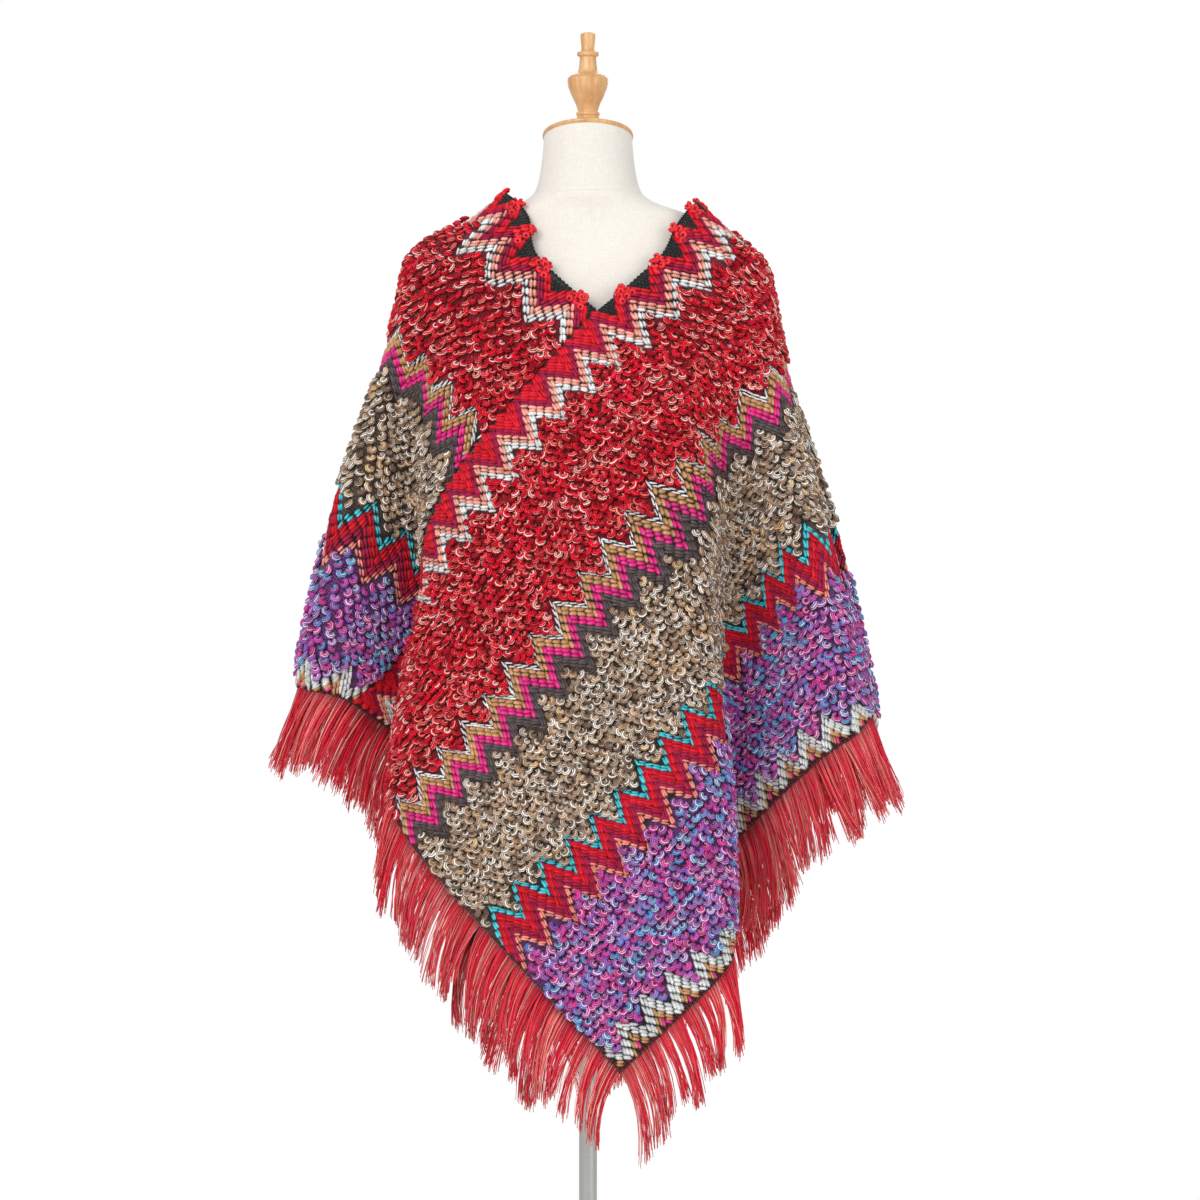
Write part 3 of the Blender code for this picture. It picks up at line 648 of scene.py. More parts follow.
def add_piece(name, mesh, material, body="root"):
    """Put a finished mesh in the scene, riding on its body."""
    obj = bpy.data.objects.new(name, mesh)
    bpy.context.scene.collection.objects.link(obj)
    mesh.materials.append(material)
    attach(obj, body)
    return obj


def paint(mesh, name, colors):
    """Store linear colours on the mesh's points."""
    layer = mesh.attributes.new(name, "FLOAT_COLOR", "POINT")
    colors = colors.reshape(-1, 3)
    rgba = np.ones((len(colors), 4), np.float32)
    rgba[:, :3] = colors
    layer.data.foreach_set("color", rgba.ravel())


def lay_uv(mesh, u, v):
    """Store one UV pair a face corner."""
    layer = mesh.uv_layers.new(name="cloth")
    layer.data.foreach_set("uv", np.stack([u, v], -1).astype(np.float32).ravel())


def tube_mesh(name, paths, radius, up, colors):
    """Closed tubes carried along many paths of the same number of points.

    paths is (tubes, rings, 3). Each ring is a circle of the given radius square
    to the path, from two directions found with the cross product of the path's
    direction and up. colors is (tubes, rings, sides, 3).
    """
    tubes, rings, sides, _ = colors.shape
    tangent = unit(np.gradient(paths, axis=1))
    side = unit(np.cross(tangent, up))
    top = np.cross(side, tangent)
    angle = (np.arange(sides) * (2.0 * math.pi / sides))[:, None]
    spread = np.broadcast_to(radius, (tubes, rings))[..., None, None]
    circle = side[:, :, None] * np.cos(angle) + top[:, :, None] * np.sin(angle)
    verts = (paths[:, :, None] + spread * circle).reshape(-1, 3)
    i, j = grid(rings - 1, sides)
    a = i * sides + j
    b = i * sides + (j + 1) % sides
    walls = np.stack([a, a + sides, b + sides, b], -1).reshape(-1, 4)
    base = (np.arange(tubes) * rings * sides)[:, None, None]
    quads = (walls + base).reshape(-1, 4)
    head = np.arange(sides) + base[:, 0]
    tail = np.arange(sides)[::-1] + base[:, 0] + (rings - 1) * sides
    mesh, corners = faces_to_mesh(name, verts, quads, head, tail)
    paint(mesh, "yarn", colors)
    length = np.linalg.norm(np.diff(paths, axis=1), axis=-1)
    run = np.concatenate([np.zeros((tubes, 1)), np.cumsum(length, 1)], 1)
    u = np.repeat(run.ravel(), sides)[corners]
    v = np.tile(np.arange(sides) / sides, tubes * rings)[corners]
    last_side = np.tile(walls[:, 0] % sides == sides - 1, tubes)
    wraps = np.repeat(last_side, 4) & np.tile([False, False, True, True], len(quads))
    v[:quads.size][wraps] += 1.0
    lay_uv(mesh, u, v)
    return mesh


def leaf_mesh(name, place, along, normal, length, width, height, colors):
    """Plump pointed stitches, one closed leaf each.

    A leaf has a point at each end and two rings of left, top and right points
    between. colors is (stitches, 3, 3): body, painted highlight and painted shade.
    """
    count = len(place)
    side = unit(np.cross(normal, along))
    up = np.cross(along, side)
    sizes = (length, width, height)
    length, width, height = [np.broadcast_to(size, count)[:, None] for size in sizes]
    points = [place - along * length * 0.52 + up * height * 0.25]
    for run, girth in zip(STITCH_RINGS, STITCH_GIRTH):
        centre = place + along * length * run
        points.append(centre + side * width * 0.5 * girth)
        points.append(centre + up * height * girth)
        points.append(centre - side * width * 0.5 * girth)
    points.append(place + along * length * 0.52 + up * height * 0.15)
    walls = np.array([(1, 2, 5, 4), (2, 3, 6, 5), (3, 1, 4, 6)])
    tips = np.array([(0, 2, 1), (0, 3, 2), (0, 1, 3), (7, 4, 5), (7, 5, 6), (7, 6, 4)])
    base = (np.arange(count) * len(points))[:, None, None]
    quads = (walls + base).reshape(-1, 4)
    tris = (tips + base).reshape(-1, 3)
    mesh, corners = faces_to_mesh(name, np.stack(points, 1).reshape(-1, 3), quads, tris)
    body, light, shade = colors[:, 0], colors[:, 1], colors[:, 2]
    # Painted highlight on the first ring's top; painted shade on the flanks, and more at the two
    # tips.
    flank = mixed(body, shade, 0.15)
    tip = mixed(body, shade, 0.6)
    paint(mesh, "yarn", np.stack([tip, flank, light, flank, flank, body, flank, tip], 1))
    u = np.array([0.0] + [0.3] * 3 + [0.75] * 3 + [1.0]) * length
    v = np.tile([0.5] + [0.2, 0.5, 0.8] * 2 + [0.5], count)
    lay_uv(mesh, u.ravel()[corners], v[corners])
    return mesh


def ground_color(s, level):
    """Colour of the knitted ground at pattern points: dark, by stripe and seam."""
    color = linear(GROUND_YARNS["black"])
    for name in LOOP_YARNS:
        share = loop_share(name, s, level)[..., None]
        color = mixed(color, linear(GROUND_YARNS[name]), share)
    top = STRIPE_LEVELS["neck_zigzag"][0] + zigzag(s, "neck_zigzag") - STRIPE_RAMP
    seam = (smooth_step((level - top) / STRIPE_RAMP) * (s < PANEL_WIDTH))[..., None]
    return mixed(color, linear(GROUND_YARNS["seam"]), seam)


def loop_limits(name, s):
    """Lower and upper edge of a looped stripe at s, along the zigzags beside it."""
    names = list(STRIPE_LEVELS)
    k = names.index(name)
    upper = STRIPE_LEVELS[name][0] + zigzag(s, names[k - 1])
    lower = STRIPE_LEVELS[name][1] + zigzag(s, names[k + 1])
    return lower, upper


def loop_share(name, s, level):
    """1 inside a looped stripe and 0 outside it, with a short ramp."""
    lower, upper = loop_limits(name, s)
    inside = np.minimum(level - lower, upper - level)
    return smooth_step(inside / STRIPE_RAMP)


def ground_mesh(name, turned):
    """Closed knitted wall of one panel on an even grid of s and t.

    The outer face stands WALL outside the drape, and a little more under the
    looped stripes. The inner face lies WALL inside it.
    """
    cols, rows = GROUND_CELLS
    s1 = np.linspace(0.0, PANEL_LENGTH - SEAM_PARTING, cols + 1)
    t1 = np.linspace(0.0, PANEL_WIDTH - SEAM_PARTING, rows + 1)
    s, t = np.meshgrid(s1, t1, indexing="ij")
    place, normal, _, _ = DRAPE.frame(s, t, turned)
    level = cloth_to_level(s, t)
    share = sum(loop_share(n, s, level) for n in LOOP_YARNS)
    edge = np.minimum(np.minimum(s, PANEL_LENGTH - s), np.minimum(t, PANEL_WIDTH - t))
    rise = WALL + LOOP_GROUND_RISE * share * smooth_step(edge / 0.012)
    outer = place + normal * rise[..., None]
    inner = place - normal * WALL
    verts = np.concatenate([outer.reshape(-1, 3), inner.reshape(-1, 3)])
    wide = rows + 1
    count = (cols + 1) * wide
    i, j = grid(cols, rows)
    a = (i * wide + j).ravel()
    front = np.stack([a, a + wide, a + wide + 1, a + 1], -1)
    back = front[:, ::-1] + count
    rim = np.concatenate([
        np.arange(cols) * wide,
        cols * wide + np.arange(rows),
        (cols - np.arange(cols)) * wide + rows,
        rows - np.arange(rows),
    ])
    after = np.roll(rim, -1)
    wall = np.stack([rim, rim + count, after + count, after], -1)
    mesh, corners = faces_to_mesh(name, verts, front, back, wall)
    color = ground_color(s, level)
    # The inner face gets the colour at 0.8: painted shade inside the worn cloth.
    paint(mesh, "yarn", np.stack([color, color * 0.8]))
    lay_uv(mesh, np.tile(s.ravel(), 2)[corners], np.tile(t.ravel(), 2)[corners])
    return mesh


def loop_places(name):
    """Brick-laid loop places of one stripe as pattern points, with their numbers."""
    columns = int(PANEL_LENGTH / LOOP_PITCH) + 2
    rows = int(PANEL_WIDTH / LOOP_ROW) + 2
    i, j = [numbers.ravel() for numbers in grid(columns, rows)]
    number = i * 331 + j
    s = (i + 0.5 * (j % 2)) * LOOP_PITCH + jitter(number, 1, LOOP_JITTER[0])
    level = (j + 0.5) * LOOP_ROW + jitter(number, 2, LOOP_JITTER[1])
    lower, upper = loop_limits(name, s)
    keep = (level > lower + 0.0008) & (level < upper - 0.0008)
    return s[keep], level[keep], number[keep]


def curl_paths(centre, radius, crown, beside, half_arc):
    """Open rings of yarn: arcs to half_arc degrees on both sides of the crown."""
    arc = np.radians(np.linspace(-half_arc, half_arc, LOOP_SEGMENTS + 1))[:, None]
    ring = np.cos(arc) * crown[:, None] + np.sin(arc) * beside[:, None]
    return centre[:, None] + np.reshape(radius, (-1, 1, 1)) * ring


def loops_mesh(name, stripe, turned):
    """Curled loops of one looped stripe.

    Each loop is an open ring of yarn: an arc of 290 degrees in a plane that leans
    from the cloth's normal toward the way down, so the curl droops.
    """
    s, level, number = loop_places(stripe)
    t = level_to_cloth(s, level)
    keep = in_cloth(s, t, LOOP_CLEARANCE)
    s, t, number = s[keep], t[keep], number[keep]
    place, normal, along, _ = DRAPE.frame(s, t, turned)
    down = np.array(DOWN) - normal * (-normal[:, 2:3])
    down = unit(down + along * 0.15)
    turn = jitter(number, 3, 2.6)
    beside = np.cross(normal, down)
    heading = down * np.cos(turn)[:, None] + beside * np.sin(turn)[:, None]
    beside = np.cross(normal, heading)
    tilt = LOOP_TILT + jitter(number, 4, 0.60)
    crown = normal * np.cos(tilt)[:, None] + heading * np.sin(tilt)[:, None]
    radius = LOOP_RADIUS + jitter(number, 5, 0.0006)
    centre = place + normal * (WALL + LOOP_LIFT + 0.0012 * noise(number, 6))[:, None]
    paths = curl_paths(centre, radius, crown, beside, LOOP_HALF_ARC)
    yarn_radius = LOOP_YARN_RADIUS + jitter(number, 7, 0.0004)
    swell = 1.0 - 0.25 * np.abs(np.linspace(-1.0, 1.0, LOOP_SEGMENTS + 1)) ** 3
    up = np.cross(crown, beside)[:, None]
    body, second, strand = loop_colors(stripe, s, t, number)
    mesh = tube_mesh(name, paths, yarn_radius[:, None] * swell, up, body)
    paint(mesh, "second", second)
    paint(mesh, "strand", strand)
    label = np.repeat(number % LOOP_LABELS, (LOOP_SEGMENTS + 1) * LOOP_SIDES)
    grain = mesh.attributes.new("grain", "FLOAT", "POINT")
    grain.data.foreach_set("value", label.astype(np.float32))
    return mesh


def loop_colors(stripe, s, t, number):
    """Two body colours and a light one of every ring point, with painted shade in the curl."""
    mixes = linear(LOOP_YARNS[stripe])
    pick = noise(number, 8) * 0.62 + drift(s, t, len(stripe)) * 0.38
    index = np.clip((pick * 3.2 - 0.1).astype(int), 0, 2)
    value = noise(number, 10, 0.80, 0.42)[:, None, None]
    # Painted shade: 0.70 on the curl's inner side, 0.88 on its underside, and darker toward both
    # ends of the arc; value is each loop's random tone.
    around = np.array([1.0, 1.0, 0.70, 0.88])
    along = 1.0 - 0.25 * np.abs(np.linspace(-1.0, 1.0, LOOP_SEGMENTS + 1)) ** 2
    share = (value * along[:, None] * around)[..., None]
    body, second, strand = [mixes[index, k][:, None, None] for k in range(3)]
    return body * share, second * share, strand * (0.4 + 0.6 * share)


def yarn_colors(numbers):
    """Body, light and shade colours of yarns by their number in YARNS."""
    return linear(list(YARNS.values()))[numbers.astype(int)]


def strand_stitches(band):
    """Stitches of one zigzag band on the pattern, a row each.

    A strand is a copy of the zigzag at its own depth in the band. Each leg holds
    STITCHES_PER_LEG leaves laid along it, and every other strand is staggered. A
    row is s, level, slope, width, height, yarn, number and reach.
    """
    period, peak = ZIGZAGS[band]
    top = STRIPE_LEVELS[band][0]
    strands = BAND_STRANDS[band]
    leg = period / 2
    slope = 2 * ZIGZAG_HALF_HEIGHT / leg
    first = peak - math.ceil(peak / period) * period
    legs = np.arange(-1, int(PANEL_LENGTH / leg) + 3)
    rows = []
    depth = top
    if band == "neck_zigzag":
        depth += SEAM_STRANDS * strands[0][1] / 1000.0
        strands = (strands[0],) * SEAM_STRANDS + strands
    for k, (yarn, thickness, height) in enumerate(strands):
        thickness = thickness / 1000.0
        middle = depth - thickness / 2
        depth -= thickness
        if yarn == "gap":
            continue
        part = (np.arange(STITCHES_PER_LEG) + 0.5) / STITCHES_PER_LEG
        part = part + STAGGER * (k % 2 - 0.5) / STITCHES_PER_LEG
        s = (first + (legs[:, None] + part[None]) * leg).ravel()
        leg_number = np.repeat(legs, STITCHES_PER_LEG)
        rising = np.where(leg_number % 2 == 0, -1.0, 1.0)
        close = yarn in CLOSE_YARNS
        width = thickness * math.cos(math.atan(slope)) * (CLOSE_WIDTH if close else OPEN_WIDTH)
        reach = CLOSE_REACH if close else OPEN_REACH
        row = np.stack([s, middle + zigzag(s, band), rising * slope,
                        np.full(len(s), width), np.full(len(s), height),
                        np.full(len(s), list(YARNS).index(yarn)),
                        np.arange(len(s)) + 977.0 * k, np.full(len(s), reach)], 1)
        if middle > top:
            row = row[s < PANEL_WIDTH - 0.004]
        rows.append(row)
    return np.concatenate(rows)


def stitches_mesh(name, band, turned):
    """All leaves of one zigzag band on one panel."""
    rows = strand_stitches(band)
    s = rows[:, 0] + jitter(rows[:, 6], 8, 0.0008)
    t = level_to_cloth(s, rows[:, 1] + jitter(rows[:, 6], 9, 0.0010))
    keep = in_cloth(s, t, STITCH_CLEARANCE)
    s, t = s[keep], t[keep]
    _, _, slope, wide, high, yarn, number, reach = rows[keep].T
    place, normal, along, across = DRAPE.frame(s, t, turned)
    heading = unit(along + across * (slope * STITCH_STEEPNESS)[:, None])
    leg_length = math.hypot(ZIGZAGS[band][0] / 2, 2 * ZIGZAG_HALF_HEIGHT)
    length = leg_length / STITCHES_PER_LEG * reach * noise(number, 1, 0.84, 0.32)
    twist = STITCH_TWIST + jitter(number, 2, 0.34)[:, None]
    heading = unit(heading + np.cross(normal, heading) * twist)
    width = wide * noise(number, 3, 0.86, 0.28)
    height = wide * STITCH_PLUMPNESS * high * noise(number, 6, 0.8, 0.4)
    colors = yarn_colors(yarn) * noise(number, 4, 0.80, 0.32)[:, None, None]
    base = place + normal * (WALL - 0.0002)
    return leaf_mesh(name, base, heading, normal, length, width, height, colors)


def edge_stitches(turned):
    """Chain stitches along both hems, and the dark knit that closes the neck edge.

    A row holds the place, heading, normal, length and yarn number of a stitch.
    """
    groups = []
    chain = CHAIN_LENGTH
    for from_edge in CHAIN_ROWS:
        s = np.arange(chain / 2, PANEL_LENGTH - chain, chain)
        groups.append((s, np.full(len(s), from_edge), 1.0, 0.0, chain, "hem_chain"))
        t = np.arange(chain / 2, PANEL_WIDTH - chain, chain)
        groups.append((np.full(len(t), from_edge), t, 0.0, 1.0, chain, "hem_chain"))
    rung = NECK_RUNG
    for row in range(NECK_ROWS):
        s = np.arange(PANEL_WIDTH + 0.002, PANEL_LENGTH - 0.002, rung) + rung * 0.5 * (row % 2)
        t = np.full(len(s), PANEL_WIDTH - 0.0024 - row * NECK_ROW)
        above = STRIPE_LEVELS["neck_zigzag"][0] + zigzag(s, "neck_zigzag") + 0.001
        keep = (t > above) & (s < PANEL_LENGTH - 0.002)
        groups.append((s[keep], t[keep], 0.35, 1.0, 0.0040, "edge_black"))
    s = np.arange(PANEL_WIDTH + 0.002, PANEL_LENGTH - 0.003, 0.0040)
    groups.append((s, np.full(len(s), PANEL_WIDTH - 0.0008), 1.0, 0.0, 0.0042, "edge_black"))
    out = []
    for s, t, run_s, run_t, length, yarn in groups:
        place, normal, along, across = DRAPE.frame(s, t, turned)
        heading = unit(along * run_s + across * run_t)
        rest = np.tile([length, list(YARNS).index(yarn)], (len(s), 1))
        out.append(np.concatenate([place, heading, normal, rest], 1))
    return np.concatenate(out)


def edges_mesh(name, turned):
    """Leaves of the hem chains and the neck edge as one mesh."""
    place, heading, normal, rest = np.split(edge_stitches(turned), (3, 6, 9), axis=1)
    tone = noise(np.arange(len(rest)), 5, 0.8, 0.4)[:, None, None]
    colors = yarn_colors(rest[:, 1]) * tone
    base = place + normal * (WALL - 0.0003)
    return leaf_mesh(name, base, heading, normal, rest[:, 0] * CHAIN_OVERLAP, CHAIN_WIDTH,
                     CHAIN_HEIGHT, colors)


def picots_mesh(name, turned):
    """Small red loops that stand over the neck edge at each zigzag peak."""
    period, peak = ZIGZAGS["neck_zigzag"]
    peaks = peak + period * np.arange(-12, 14)
    peaks = peaks[(peaks > PANEL_WIDTH + 0.006) & (peaks < PANEL_LENGTH - 0.004)]
    offsets = np.array(PICOT_OFFSETS)
    s = (peaks[:, None] + offsets[:, 0]).ravel()
    out = np.tile(offsets[:, 1], len(peaks))
    t = np.minimum(PANEL_WIDTH + out, PANEL_WIDTH - 0.0006)
    number = np.arange(len(s))
    place, normal, along, across = DRAPE.frame(s, t, turned)
    place = place + across * np.maximum(out, 0.0)[:, None]
    centre = place + normal * PICOT_LIFT
    turn = 2.0 * math.pi * noise(number, 6)
    heading = along * np.cos(turn)[:, None] + across * np.sin(turn)[:, None]
    crown = unit(normal * 0.8 + heading)
    beside = unit(np.cross(normal, heading))
    paths = curl_paths(centre, PICOT_RADIUS, crown, beside, PICOT_HALF_ARC)
    body, light, shade = linear(YARNS["picot"])
    # Painted highlight on the tube's top side and painted shade on its inner side.
    side = np.stack([body, light, shade, body])
    colors = np.broadcast_to(side, (len(s), LOOP_SEGMENTS + 1, LOOP_SIDES, 3))
    colors = colors * noise(number, 7, 0.85, 0.3)[:, None, None, None]
    up = np.cross(crown, beside)[:, None]
    return tube_mesh(name, paths, PICOT_YARN_RADIUS, up, colors)


def hem_path(turned, short_end, run):
    """Edge point, wall normal, outward and hanging directions along one hem."""
    zero = np.zeros_like(run)
    if short_end:
        place, normal, along, _ = DRAPE.frame(zero, run, turned)
        outward = -along
    else:
        place, normal, _, across = DRAPE.frame(run, zero, turned)
        outward = -across
    hang = np.array(DOWN) + LEAN_FROM_HEM * outward
    reach = np.clip(np.abs(place[:, 0]) / 0.30, 0.0, 1.0) ** 3 * np.sign(place[:, 0])
    hang[:, 0] += LEAN_OUTWARD * reach
    window = max(1, int(HEM_SMOOTHING / (run[1] - run[0])))
    padded = np.concatenate([hang[:1].repeat(window, 0), hang, hang[-1:].repeat(window, 0)])
    total = np.concatenate([np.zeros((1, 3)), np.cumsum(padded, 0)])
    size = 2 * window + 1
    hang = total[size:] - total[:-size]
    return place, normal, outward, unit(hang)


def fringe_mesh(name, turned, short_end, seed, settings):
    """Fine yarn ends of one hem, drawn together into pointed locks.

    A thread starts square to the hem and turns down: its path is the hem point
    plus length times (q hang + bend q (1 - q) (outward - hang)), q from 0 to 1.
    Threads of a lock are drawn toward the lock's middle as q grows.
    """
    length_of_hem = PANEL_WIDTH if short_end else PANEL_LENGTH
    fine = np.linspace(0.0, length_of_hem - SEAM_PARTING, 400)
    tables = hem_path(turned, short_end, fine)
    count = int(length_of_hem * 100 * settings.threads_per_cm)
    number = np.arange(count)
    run = (number + noise(number, seed)) / count * (length_of_hem - 0.003) + 0.001
    place, normal, outward, hang = [
        np.stack([np.interp(run, fine, table[:, k]) for k in range(3)], 1) for table in tables]
    wander = run / LOCK_PITCH + 0.22 * np.sin(run * 91.0 + seed)
    lock = np.floor(wander)
    inside = wander - lock - 0.5
    along = unit(np.cross(normal, outward))
    away = np.sign(np.sum(along * np.gradient(place, axis=0), 1, keepdims=True))
    along = along * away
    draw = noise(lock, seed + 1, 0.20, 0.50)
    sway = jitter(lock, seed + 2, 0.22)
    stray = jitter(number, seed + 3, 1.0)
    layer = jitter(number, seed + 4, 1.0)
    length = settings.length * (0.93 + jitter(lock, seed + 5, 0.20)
                                + jitter(number, seed + 6, 0.16) - 0.30 * inside ** 2)
    q = np.linspace(0.0, 1.0, THREAD_RINGS)[None, :, None]
    path = q * hang[:, None] + THREAD_BEND * q * (1.0 - q) * (outward - hang)[:, None]
    path = path * length[:, None, None]
    drawn = (-inside * draw * LOCK_PITCH)[:, None, None] * q ** 0.8
    sideways = drawn + (sway + 0.16 * stray)[:, None, None] * length[:, None, None] * q ** 2
    wave = 0.0010 * np.sin(q * noise(number, seed + 7, 7.0, 5.0)[:, None, None]
                           + 6.3 * noise(number, seed + 8)[:, None, None]) * np.sqrt(q)
    root = place - outward * 0.0012 + normal * (layer * 0.0022)[:, None]
    depth = (layer * 0.012)[:, None, None] * q * (1.0 - 0.5 * q) + wave
    paths = root[:, None] + path + sideways * along[:, None] + depth * normal[:, None]
    taper = 1.0 - 0.35 * np.linspace(0.0, 1.0, THREAD_RINGS)[None]
    thick = settings.thread_radius * noise(number, seed + 9, 0.8, 0.4)[:, None] * taper
    bounds = np.cumsum(FRINGE_SHARES)
    mood = 0.65 * noise(number, seed + 10) + 0.35 * noise(np.floor(wander * 2.0), seed + 11)
    pick = np.clip(np.searchsorted(bounds, mood), 0, len(FRINGE_YARNS) - 1)
    tone = linear(FRINGE_YARNS)[pick] * noise(number, seed + 12, 0.85, 0.3)[:, None]
    # Painted shade: each thread painted darker toward its root at the hem.
    fade = 0.72 + 0.28 * smooth_step(np.linspace(0.0, 1.0, THREAD_RINGS) / 0.25)
    colors = tone[:, None, None] * fade[:, None, None]
    colors = np.broadcast_to(colors, (count, THREAD_RINGS, THREAD_SIDES, 3))
    return tube_mesh(name, paths, thick, normal[:, None] + 0.01, colors)


def loft_mesh(name, rings):
    """Closed surface through level or leaning rings, (rings, sides, 3)."""
    count, sides, _ = rings.shape
    i, j = grid(count - 1, sides)
    a = (i * sides + j).ravel()
    b = (i * sides + (j + 1) % sides).ravel()
    walls = np.stack([a, b, b + sides, a + sides], -1)
    near = np.arange(sides)
    after = (near + 1) % sides
    top = (count - 1) * sides
    foot = np.full(sides, count * sides)
    bottom_cap = np.stack([foot, after, near], -1)
    top_cap = np.stack([foot + 1, top + near, top + after], -1)
    verts = np.concatenate([rings.reshape(-1, 3), [rings[0].mean(0)], [rings[-1].mean(0)]])
    return faces_to_mesh(name, verts, walls, bottom_cap, top_cap)[0]


def ring_points(half_width, half_depth, centre_y, height, slope, sides):
    """Rings of an ellipse, leaning so that the front rises by the slope."""
    angle = np.arange(sides) * (2.0 * math.pi / sides)
    x = half_width[:, None] * np.cos(angle)[None]
    y = centre_y[:, None] + half_depth[:, None] * np.sin(angle)[None]
    z = height[:, None] - slope[:, None] * y
    return np.stack([x, y, z], -1)


def fine_profile(rows, per):
    """Rows of radius and height made finer by a fair curve over their order."""
    rows = np.array(rows)
    order = np.arange(len(rows), dtype=float)
    fine = np.linspace(0.0, len(rows) - 1.0, (len(rows) - 1) * per + 1)
    return fair_curve(fine, order, rows[:, 0]), fair_curve(fine, order, rows[:, 1])


def form_mesh(name):
    """Cloth cover of the torso, with the neck seam drawn in."""
    rows = np.array(TORSO_ROWS)[::-1]
    heights = np.unique(np.concatenate([np.linspace(*levels) for levels in FORM_LEVELS]))
    width, depth, centre = [fair_curve(heights, rows[:, 0], rows[:, k]) for k in (1, 2, 3)]
    seam = NECK_SEAM_DEPTH * np.exp(-((heights - NECK_SEAM_HEIGHT) / NECK_SEAM_WIDTH) ** 2)
    lean = NECK_LEAN * smooth_step((heights - NECK_LEAN_FROM) / (NECK_TOP - NECK_LEAN_FROM))
    return loft_mesh(name, ring_points(width - seam, depth - seam, centre, heights, lean, 96))


def turned_mesh(name, rows, per, sides, lean_below=0.0):
    """Turned piece from rows of radius and height, leaning below a height."""
    radius, height = fine_profile(rows, per)
    slope = NECK_LEAN * np.clip((lean_below - height) / LEAN_FADE, 0.0, 1.0)
    return loft_mesh(name, ring_points(radius, radius, radius * 0.0, height, slope, sides))


def opaque(color):
    """Linear colour with full alpha from sRGB channels of 0 to 255."""
    return linear(tuple(color) + (255,)).tolist()


class Nodes:
    """Short way to lay out one material's node tree."""

    def __init__(self, name):
        self.material = bpy.data.materials.new(name)
        self.material.use_nodes = True
        self.tree = self.material.node_tree
        self.shader = self.tree.nodes["Principled BSDF"]

    def add(self, kind, **values):
        """One node with its properties set."""
        node = self.tree.nodes.new(kind)
        for key, value in values.items():
            setattr(node, key, value)
        return node

    def join(self, source, target):
        """Link an output socket, or set a plain value, on an input socket."""
        if isinstance(source, bpy.types.NodeSocket):
            self.tree.links.new(source, target)
        else:
            target.default_value = source

    def feed(self, node, values):
        """Join a socket or a plain value to each named input of a node."""
        for key, value in values.items():
            self.join(value, node.inputs[key])
        return node.outputs

    def math(self, operation, a, b=0.0, c=0.0):
        """A Math node of up to three inputs."""
        node = self.add("ShaderNodeMath", operation=operation)
        for value, socket in zip((a, b, c), node.inputs):
            self.join(value, socket)
        return node.outputs[0]

    def stored(self, name, output="Color"):
        """An attribute stored on the mesh."""
        return self.add("ShaderNodeAttribute", attribute_name=name).outputs[output]

    def noise(self, vector, scale, detail=2.0, roughness=0.5):
        """A Noise texture read at a vector."""
        values = {"Vector": vector, "Scale": scale, "Detail": detail, "Roughness": roughness}
        return self.feed(self.add("ShaderNodeTexNoise"), values)["Fac"]

    def mix(self, factor, a, b, blend_type="MIX"):
        """A Mix node of two colours."""
        node = self.add("ShaderNodeMix", data_type="RGBA", blend_type=blend_type)
        return self.feed(node, {"Factor": factor, "A": a, "B": b})["Result"]

    def tint(self, color, factor, low, high):
        """A colour multiplied by a value between low and high."""
        values = {"Value": factor, "From Min": 0.25, "From Max": 0.75,
                  "To Min": low, "To Max": high}
        spread = self.feed(self.add("ShaderNodeMapRange"), values)["Result"]
        return self.mix(1.0, color, spread, "MULTIPLY")

    def bump(self, height, strength, distance):
        """A Bump node into the shader's normal."""
        values = {"Height": height, "Strength": strength, "Distance": distance}
        normal = self.feed(self.add("ShaderNodeBump"), values)["Normal"]
        self.join(normal, self.shader.inputs["Normal"])

    def place(self):
        """Object coordinates."""
        return self.add("ShaderNodeTexCoord").outputs["Object"]

    def stretched(self, scale):
        """Object coordinates scaled by three factors."""
        values = {"Vector": self.place(), "Scale": scale}
        return self.feed(self.add("ShaderNodeMapping"), values)["Vector"]

    def parted(self, vector):
        """The X, Y and Z of a vector."""
        return self.feed(self.add("ShaderNodeSeparateXYZ"), {"Vector": vector})

    def cloth_uv(self):
        """The piece's own UV map as two values."""
        parts = self.parted(self.add("ShaderNodeUVMap", uv_map="cloth").outputs["UV"])
        return parts["X"], parts["Y"]

    def finish(self, tone, values):
        """The base colour, and other values on the shader's own sockets."""
        self.feed(self.shader, {"Base Color": tone})
        self.feed(self.shader, values)
        return self.material


def yarn_material(name, ply_pitch, roughness, sheen):
    """Twisted woollen yarn: attribute colour, plies in the relief, and nap."""
    nodes = Nodes(name)
    place = nodes.place()
    fibre = nodes.noise(place, 950.0, 3.0, 0.6)
    blotch = nodes.noise(place, 130.0)
    run, turn = nodes.cloth_uv()
    ply = nodes.math("ADD", nodes.math("DIVIDE", run, ply_pitch), turn)
    ply = nodes.math("SINE", nodes.math("MULTIPLY", ply, 2.0 * math.pi))
    ply = nodes.math("MULTIPLY_ADD", ply, 0.5, 0.5)
    # Painted shade and highlight: the yarn colour darker in the ply grooves and lighter on the ply
    # crowns, matching the relief.
    tone = nodes.tint(nodes.stored("yarn"), ply, 0.86, 1.10)
    tone = nodes.tint(tone, fibre, 0.82, 1.18)
    tone = nodes.tint(tone, blotch, 0.90, 1.10)
    nodes.bump(nodes.math("MULTIPLY_ADD", fibre, 0.8, ply), 0.55, 0.0004)
    return nodes.finish(tone, {"Roughness": roughness, "Sheen Weight": sheen,
                               "Sheen Roughness": 0.45, "Specular IOR Level": 0.25})


